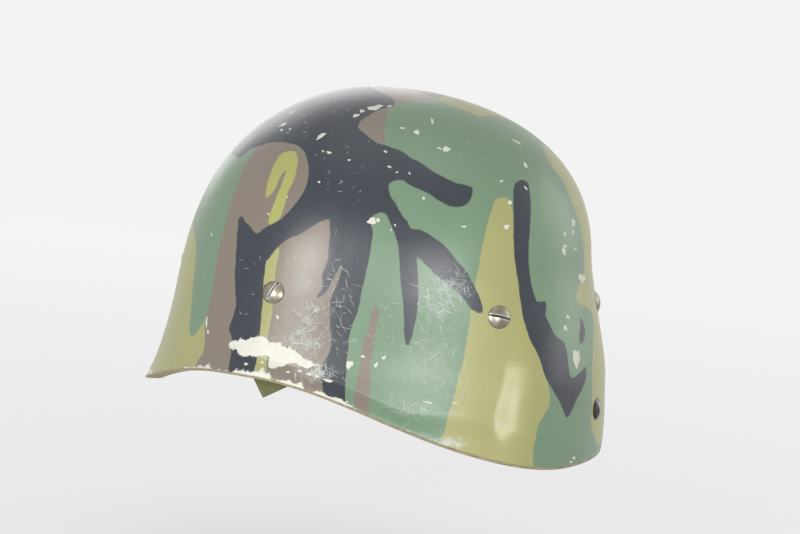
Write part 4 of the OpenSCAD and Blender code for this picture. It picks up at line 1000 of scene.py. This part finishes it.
NAPE_ANGLES = within_half_turn(np.linspace(NAPE_A - 6, 360 - NAPE_A + 6, 48))
NAPE_OUT, NAPE_T = WALL + 0.3, 1.6
NAPE_IN = NAPE_OUT + NAPE_T
EVEN = np.linspace(-180, 180, 240, endpoint=False)
piece("suspension_webbing", [ring_strap(WALL + BAND_GAP, BAND_IN, BAND_Z, BAND_Z + BAND_W, EVEN)],
      SEWN_WEBBING, "shell", ["suspension_band"])
piece("nape_webbing", [ring_strap(NAPE_OUT, NAPE_IN, NAPE_Z - 10, NAPE_Z + 10, NAPE_ANGLES, "cap")],
      WEBBING, "shell", ["nape_strap"])

CROWN = np.array([0, 15.72, 162.0])
CROWN_ANGLES = [37, 104, 157, -157, -104, -37]
STRAP_W, CROWN_T, LACE_R, LACE_D = 20.0, 1.5, 24.0, 3.2


def strap_seat(a, z, out):
    """Where a flat strap lies on the curved band: as deep as its widest part needs."""
    p = shell_at(a, z, BAND_IN)
    half = STRAP_W / 2 / float(shell_radius(a, z, 0)) * 180 / math.pi
    room = max(float((p - shell_at(a + t * half, z, BAND_IN)) @ out) for t in (-1, -0.5, 0, 0.5, 1))
    return p - (room + 0.3 + CROWN_T / 2) * out


def crown_strap(a):
    """Strap down the inside of the band, then in a quarter ellipse to the crown lace."""
    face = shell_at(a, BAND_Z + BAND_W, BAND_IN)
    out = unit(np.array([face[0] - CROWN[0], face[1] - CROWN[1], 0]))
    side = np.array([-out[1], out[0], 0])
    low = [strap_seat(a, z, out) for z in (BAND_Z + 3, BAND_Z + 8, BAND_Z + BAND_W / 2, BAND_Z + 20)]
    knee = strap_seat(a, BAND_Z + BAND_W, out)
    reach = np.linalg.norm(knee[:2] - CROWN[:2]) - LACE_R
    rise = CROWN[2] - knee[2]
    t = np.radians(np.linspace(0, 90, 26))[:, None]
    arc = knee + np.array([0, 0, 1]) * rise * np.sin(t) - out * reach * (1 - np.cos(t))
    path = np.vstack([low, arc])
    normal = unit(np.cross(side, unit(np.gradient(path, axis=0))))
    grid, uv = ribbon(path, np.repeat(side[None], len(path), 0), normal, STRAP_W, CROWN_T)
    return skin(grid, "cap", None, uv)


for number, a in enumerate(CROWN_ANGLES, 1):
    piece(f"crown_webbing_{number}", [crown_strap(a)], WEBBING, "shell", [f"crown_strap_{number}"])


def ring_of(count):
    """Even angles once round a circle, in radians."""
    return np.linspace(0, 2 * np.pi, count, endpoint=False)


def tube(path, radius, around=14):
    """Round cord along a closed path, its rings square to the path."""
    along = unit(np.roll(path, -1, 0) - np.roll(path, 1, 0))
    side = unit(np.cross(along, [0.03, 0.02, 1.0]))
    up = np.cross(side, along)
    t = ring_of(around)[None, :, None]
    grid = path[:, None] + radius * (np.cos(t) * side[:, None] + np.sin(t) * up[:, None])
    return skin(grid, "loop", None, (lengths(path), np.linspace(0, 2 * np.pi * radius, around + 1)))


def lace_pieces():
    """Lace ring that weaves a little up and down through the straps' ends, and its flat knot."""
    ring_r = LACE_R - LACE_D / 2 - 0.3
    t, s = ring_of(160), ring_of(60)
    ring = CROWN + points_of(ring_r * np.sin(t), -ring_r * np.cos(t), 0.25 * np.sin(12 * t))
    knot = CROWN + [0, ring_r, 0] + points_of(1.98 * np.cos(s), 1.7 * np.sin(s), 1.7 * np.sin(2 * s))
    return [tube(ring, LACE_D / 2), tube(knot, LACE_D * 0.42)]


piece("crown_lace_cord", lace_pieces(), LACE, "shell", ["crown_lace"])

# Headband and nape pad
HB_N, HB_T, HB_Z, HB_W = 2.3, 2.6, 50.0, 38.0
BAND_FRONT, BAND_SIDE, BAND_REAR = [shell_at(a, BAND_Z + BAND_W / 2, BAND_IN) for a in (0, 100, 180)]
HB_Y = float(BAND_FRONT[1] + BAND_REAR[1]) / 2
HB_HALF_W = float(BAND_SIDE[0]) - 8
HB_HALF_L = float(BAND_REAR[1] - BAND_FRONT[1]) / 2 - 7


def band_points(angles, inset, z):
    """Points of the headband: its plan is a superellipse about its own middle."""
    s, c = np.sin(np.radians(angles)), np.cos(np.radians(angles))
    r = ((abs(s) / (HB_HALF_W - inset)) ** HB_N + (abs(c) / (HB_HALF_L - inset)) ** HB_N) ** (-1 / HB_N)
    return points_of(r * s, HB_Y - r * c, z)


def leather_band():
    """Headband: its plan carried up its width, rolled at both edges, with a soft belly between the seams."""
    angles = np.linspace(-180, 180, 220, endpoint=False)[:, None]
    v = np.linspace(0, 1, 15)
    belly = 0.45 * np.sin(np.pi * v) ** 0.6
    rolled = HB_T / 2 * (1 - np.sqrt(1 - (2 * v - 1) ** 8))
    grid = np.concatenate([band_points(angles, rolled, HB_Z + HB_W * (1 - v)),
                           band_points(angles, HB_T - rolled + belly - belly.min(), HB_Z + HB_W * v)], 1)
    across = np.concatenate([HB_W * (0.5 - v), HB_W * (v - 0.5), [HB_W / 2]])
    return skin(grid, "loop", None, (lengths(grid[:, 7]), across))


piece("leather_headband", [leather_band()], SEWN_LEATHER, "shell", ["headband"])

PAD_HALF_A = 180 - NAPE_A - (8 + 2) / LEN_REAR * 180 / math.pi
PAD_T, PAD_H, PAD_Z, PAD_BACK = 12.0, 42.0, 31.6, NAPE_IN + 0.5


def pad_place(part, v, deep):
    """Point of the pad at shares of its half width and half height, a depth under the shell's face."""
    drawn = (1 - 0.05 * (1 - abs(part) ** 2)) * (1 - 0.06 * abs(part) ** 6)
    return shell_at(within_half_turn(180 + PAD_HALF_A * part), PAD_Z - PAD_H / 2 * v * drawn, deep)


def nape_cushion():
    """Nape pad before it is filled: back flat on the strap, front a low crown over a thick edge."""
    part, across = np.meshgrid(np.linspace(-0.96, 0.96, 37), np.linspace(-0.94, 0.94, 25), indexing="ij")
    crown = np.sqrt(1 - abs(part) ** 3) * np.sqrt(1 - abs(across) ** 3)
    back = pad_place(part, across, PAD_BACK)
    front = pad_place(part, across[:, ::-1], PAD_BACK + PAD_T * (0.40 + 0.36 * crown))
    return skin(np.concatenate([back, front], 1), "cap")


def point_places(mesh):
    """Places of a mesh's points, one row each."""
    flat = np.empty(len(mesh.vertices) * 3, np.float32)
    mesh.vertices.foreach_get("co", flat)
    return flat.reshape(-1, 3)


def filled(pad, rests_towards, pressure=4.0, voxel=4.0, furthest=1.8, frames=20):
    """Cloth pass: an even mesh is blown up without gravity, then its points are held to a longest way, and
    kept from the side that the pad rests on."""
    scene = bpy.context.scene
    even = pad.modifiers.new("even", "REMESH")
    even.mode, even.voxel_size = "VOXEL", voxel * MM
    mesh = bpy.data.meshes.new_from_object(pad.evaluated_get(bpy.context.evaluated_depsgraph_get()))
    pad.modifiers.remove(even)
    pad.data = mesh
    mesh.polygons.foreach_set("use_smooth", np.ones(len(mesh.polygons), bool))
    start = point_places(mesh)
    cloth = pad.modifiers.new("fill", "CLOTH")
    cloth.settings.use_pressure = True
    cloth.settings.uniform_pressure_force = pressure
    cloth.settings.effector_weights.gravity = 0
    cloth.point_cache.frame_start, cloth.point_cache.frame_end = 1, frames
    for number in range(1, frames + 1):
        scene.frame_set(number)
    way = point_places(pad.evaluated_get(bpy.context.evaluated_depsgraph_get()).data) - start
    pad.modifiers.remove(cloth)
    scene.frame_set(1)
    way -= np.maximum(way @ rests_towards, 0)[:, None] * rests_towards
    way *= np.minimum(1, furthest * MM / np.maximum(np.linalg.norm(way, axis=-1, keepdims=True), 1e-9))
    mesh.vertices.foreach_set("co", (start + way).astype(np.float32).reshape(-1))
    mesh.update()
    soft = pad.modifiers.new("soft", "SUBSURF")
    soft.levels = soft.render_levels = 1


def pad_piping():
    """Sewn piping round the pad's edge: a cord on a rounded oblong, |u|^6 + |v|^6 = 1."""
    t = ring_of(120)
    size = 0.955 * (abs(np.cos(t)) ** 6 + abs(np.sin(t)) ** 6) ** (-1 / 6)
    return tube(pad_place(size * np.cos(t), size * np.sin(t), PAD_BACK + 0.21 * PAD_T), 0.9, 10)


nape_pad = piece("nape_cushion", [nape_cushion()], LEATHER, "shell", ["nape_pad"])
filled(nape_pad, turned(shell_normal(180.0, PAD_Z), TIP))
piece("nape_cushion_piping", [pad_piping()], LEATHER, "shell")

# Chin strap, made hanging along -Z from the pivot axis, then turned to where it is stowed
PIVOT = np.array([0, -33.3693, 53.0])
HANGER_X, PLATE_T, SLIDE, WEB, STRAP_X = 93.3676, 1.2, 0.3, 1.6, 90.1176
STOW, TAIL_TURN = math.radians(74), math.radians(30)
SIDE_LEN, DEPTH_CHIN, CHIN_HALF, BEND_CUT = 72.0, 122.0, 38.0, 8.0
CUP_FLOOR, CUP_R, CUP_HALF_L, CUP_HALF_W = -DEPTH_CHIN + WEB / 2 + SLIDE, 105.0, 29.0, 16.0


def stowed(points):
    return PIVOT + turned(points, STOW)


def bend(before, corner, after, cut=BEND_CUT, parts=8):
    """Corner rounded by a quadratic curve between points a cut away on both sides."""
    p, q = corner + unit(before - corner) * cut, corner + unit(after - corner) * cut
    t = np.linspace(0, 1, parts)[:, None]
    return (1 - t) ** 2 * p + 2 * t * (1 - t) * corner + t * t * q


def chin_line():
    """Middle line of the strap: down one side, round its knee and to the chin, then its mirror image."""
    top = np.array([STRAP_X + WEB / 2, -8.0])
    knee = np.array([top[0], -SIDE_LEN])
    chin = np.array([CHIN_HALF + BEND_CUT, -DEPTH_CHIN])
    first, second = bend(top, knee, chin), bend(knee, chin, np.array([0, -DEPTH_CHIN]))
    half = np.vstack([np.linspace(top, knee + [0, BEND_CUT], 22)[:-1], first,
                      np.linspace(first[-1], second[0], 12)[1:-1], second])
    span = np.linspace(half[-1], half[-1] * [-1, 1], 24)[1:-1]
    return np.vstack([half, span, half[::-1] * [-1, 1]])


def strip(path, across, width, thick):
    """Flat strap along a path in the strap's own frame, stowed with it."""
    across = np.repeat([across], len(path), 0)
    return ribbon(path, across, np.cross(unit(np.gradient(path, axis=0)), across), width, thick)


def chin_webbing():
    """The strap, a rigid U of webbing."""
    x, z = chin_line().T
    grid, uv = strip(points_of(x, 0, z), [0, 1.0, 0], STRAP_W, WEB)
    return skin(stowed(grid), "cap", None, uv)


def tail_webbing():
    """Loose tail of the left strap: flat under the rivet, then cut square."""
    t = np.linspace(6.0, -25, 30)[:, None]
    width = np.where(t > -8, 12.0 + 8 * np.clip(-t / 8, 0, 1), 20.0)
    v = np.linspace(-0.5, 0.5, 9)
    soft = 0.3 * (abs(v) > 0.49)
    grid = points_of(np.append(WEB - soft, soft), np.append(v, v[::-1]) * width, t)
    across = np.concatenate([np.linspace(-10, 10, 9), np.linspace(10, -10, 9), [-10]])
    place = PIVOT + [HANGER_X + PLATE_T, 0, 0] + turned(grid, TAIL_TURN)
    return skin(place, "cap", None, (np.append(-t, 26.0), across))


def chin_cushion():
    """Moulded leather chin cup: a rounded oblong dished along its length, thicker at both ends."""
    u, v = np.linspace(-1, 1, 41)[:, None], np.linspace(-1, 1, 21)
    x = CUP_HALF_L * u
    y = np.maximum(CUP_HALF_W * (1 - abs(u) ** 5) ** 0.3, 2.0) * v
    hollow = 2.5 + CUP_R - np.sqrt(CUP_R ** 2 - x ** 2)
    edge = np.sqrt(1 - abs(v) ** 8) * np.sqrt(1 - abs(u) ** 12)
    upper = points_of(x, y, CUP_FLOOR + 0.3 + (hollow - 0.3) * (0.35 + 0.65 * edge))
    lower = points_of(x, y[:, ::-1], CUP_FLOOR + 0.05)
    return skin(stowed(np.concatenate([upper, lower], 1)), "cap")


def chin_keeper(side):
    """Leather keeper that passes under the webbing and holds the cup to it."""
    half_y, low = 10 + SLIDE, CUP_FLOOR - WEB - 2 * SLIDE
    start = np.array([[-half_y - 1, CUP_FLOOR + 0.5], [-half_y - 1, CUP_FLOOR - 1.2],
                      [-half_y - 0.4, low - 0.7], [-half_y + 1.5, low - 1.0]])
    y, z = np.vstack([start, [[0, low - 1.0]], start[::-1] * [-1, 1]]).T
    return skin(stowed(strip(points_of(side * 2 / 3 * CUP_HALF_L, y, z), [1.0, 0, 0], 8.0, 1.8)[0]), "cap")


piece("chin_strap_webbing", [chin_webbing()], WEBBING, "chin_strap", ["chin_webbing"])
piece("strap_tail_webbing", [tail_webbing()], SEWN_WEBBING, "shell", ["strap_tail"])
piece("chin_cup_leather", [chin_cushion(), chin_keeper(-1), chin_keeper(1)], LEATHER, "chin_cup",
      ["chin_cup"])

# CAD nodes that keep their own shape
OWN_SHAPE = {"suspension_nuts nape_nuts": NUT_METAL, "spacer_washers": RUBBER, "strap_rivets": BRASS,
             "headband_clips headband_adjuster hanger_left hanger_right end_plate_left end_plate_right "
             "ladder_buckle_left ladder_buckle_right": DARK_STEEL}
for names, finish in OWN_SHAPE.items():
    for name in names.split():
        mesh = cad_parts[name].data
        mesh.materials.clear()
        mesh.materials.append(finish)

# Azimuth and height of each soft lamp, its distance and size in metres, and its power in watts
LAMPS = [("front_left", 67, 7, 1.3, 0.46, 7.4), ("front_right", 110, 4, 1.3, 0.42, 5.2),
         ("rear_left", 205, 22, 1.6, 1.0, 4.5), ("rear_right", 292, 18, 1.6, 1.0, 5.0),
         ("above", 60, 78, 1.8, 1.4, 2.5)]
LAMPS_AIM = np.array([0, 0, 0.09])
FLOOR_DROP, FLOOR_REACH = -0.10, 2.4


def pale_floor():
    """Floor material: white, lifted for the camera, fading out away from the helmet, clear from below."""
    f = Finish("floor_pale", roughness=0.9, Specular_IOR_Level=0.1)
    f.done(f.mix(f.noise(3), srgb(246, 246, 246), srgb(250, 250, 250)))
    white = f.node("ShaderNodeEmission", inputs={"Color": srgb(242, 242, 243)})
    lifted = f.blend(f.ray("Camera") * 0.55, Output(f, f.shader.outputs[0]), white)
    spread = f.node("ShaderNodeVectorMath", "Value", {0: f.place}, operation="LENGTH")
    faded = f.largest(f.step(spread, 0.35, 1.5), f.node("ShaderNodeNewGeometry", "Backfacing"))
    seen_floor = f.blend(faded, lifted, f.node("ShaderNodeBsdfTransparent"))
    f.put(f.tree.nodes["Material Output"].inputs["Surface"], seen_floor)
    return f.material


def studio():
    """Pale floor, an even world that is plain white to the camera and in reflections, and the soft lamps."""
    t = ring_of(64)
    floor_mesh = bpy.data.meshes.new("floor")
    rim = points_of(FLOOR_REACH * np.cos(t), FLOOR_REACH * np.sin(t), FLOOR_DROP)
    floor_mesh.from_pydata(rim.tolist(), [], [list(range(64))])
    floor_mesh.materials.append(pale_floor())
    added("floor", floor_mesh)
    world = bpy.data.worlds.new("studio")
    bpy.context.scene.world = world
    world.use_nodes = True
    w = Nodes(world.node_tree)
    even = w.node("ShaderNodeBackground", inputs={"Color": (0.93, 0.93, 0.935), "Strength": 0.52})
    plain = w.node("ShaderNodeBackground", inputs={"Color": srgb(243, 243, 244)})
    looked_at = w.largest(w.ray("Camera"), w.ray("Glossy"), w.ray("Transmission"))
    w.put(w.tree.nodes["World Output"].inputs["Surface"], w.blend(looked_at, even, plain))
    for name, azimuth, height, distance, size, power in LAMPS:
        lamp = bpy.data.lights.new(name, "AREA")
        lamp.size, lamp.energy = size, power
        az, el = math.radians(azimuth), math.radians(height)
        out = np.array([math.sin(az) * math.cos(el), -math.cos(az) * math.cos(el), math.sin(el)])
        right = unit(np.cross([0, 0, 1.0], out))
        placed(name, lamp, right, np.cross(out, right), out, out * distance + LAMPS_AIM)
    bpy.context.scene.view_settings.view_transform = "Standard"


studio()
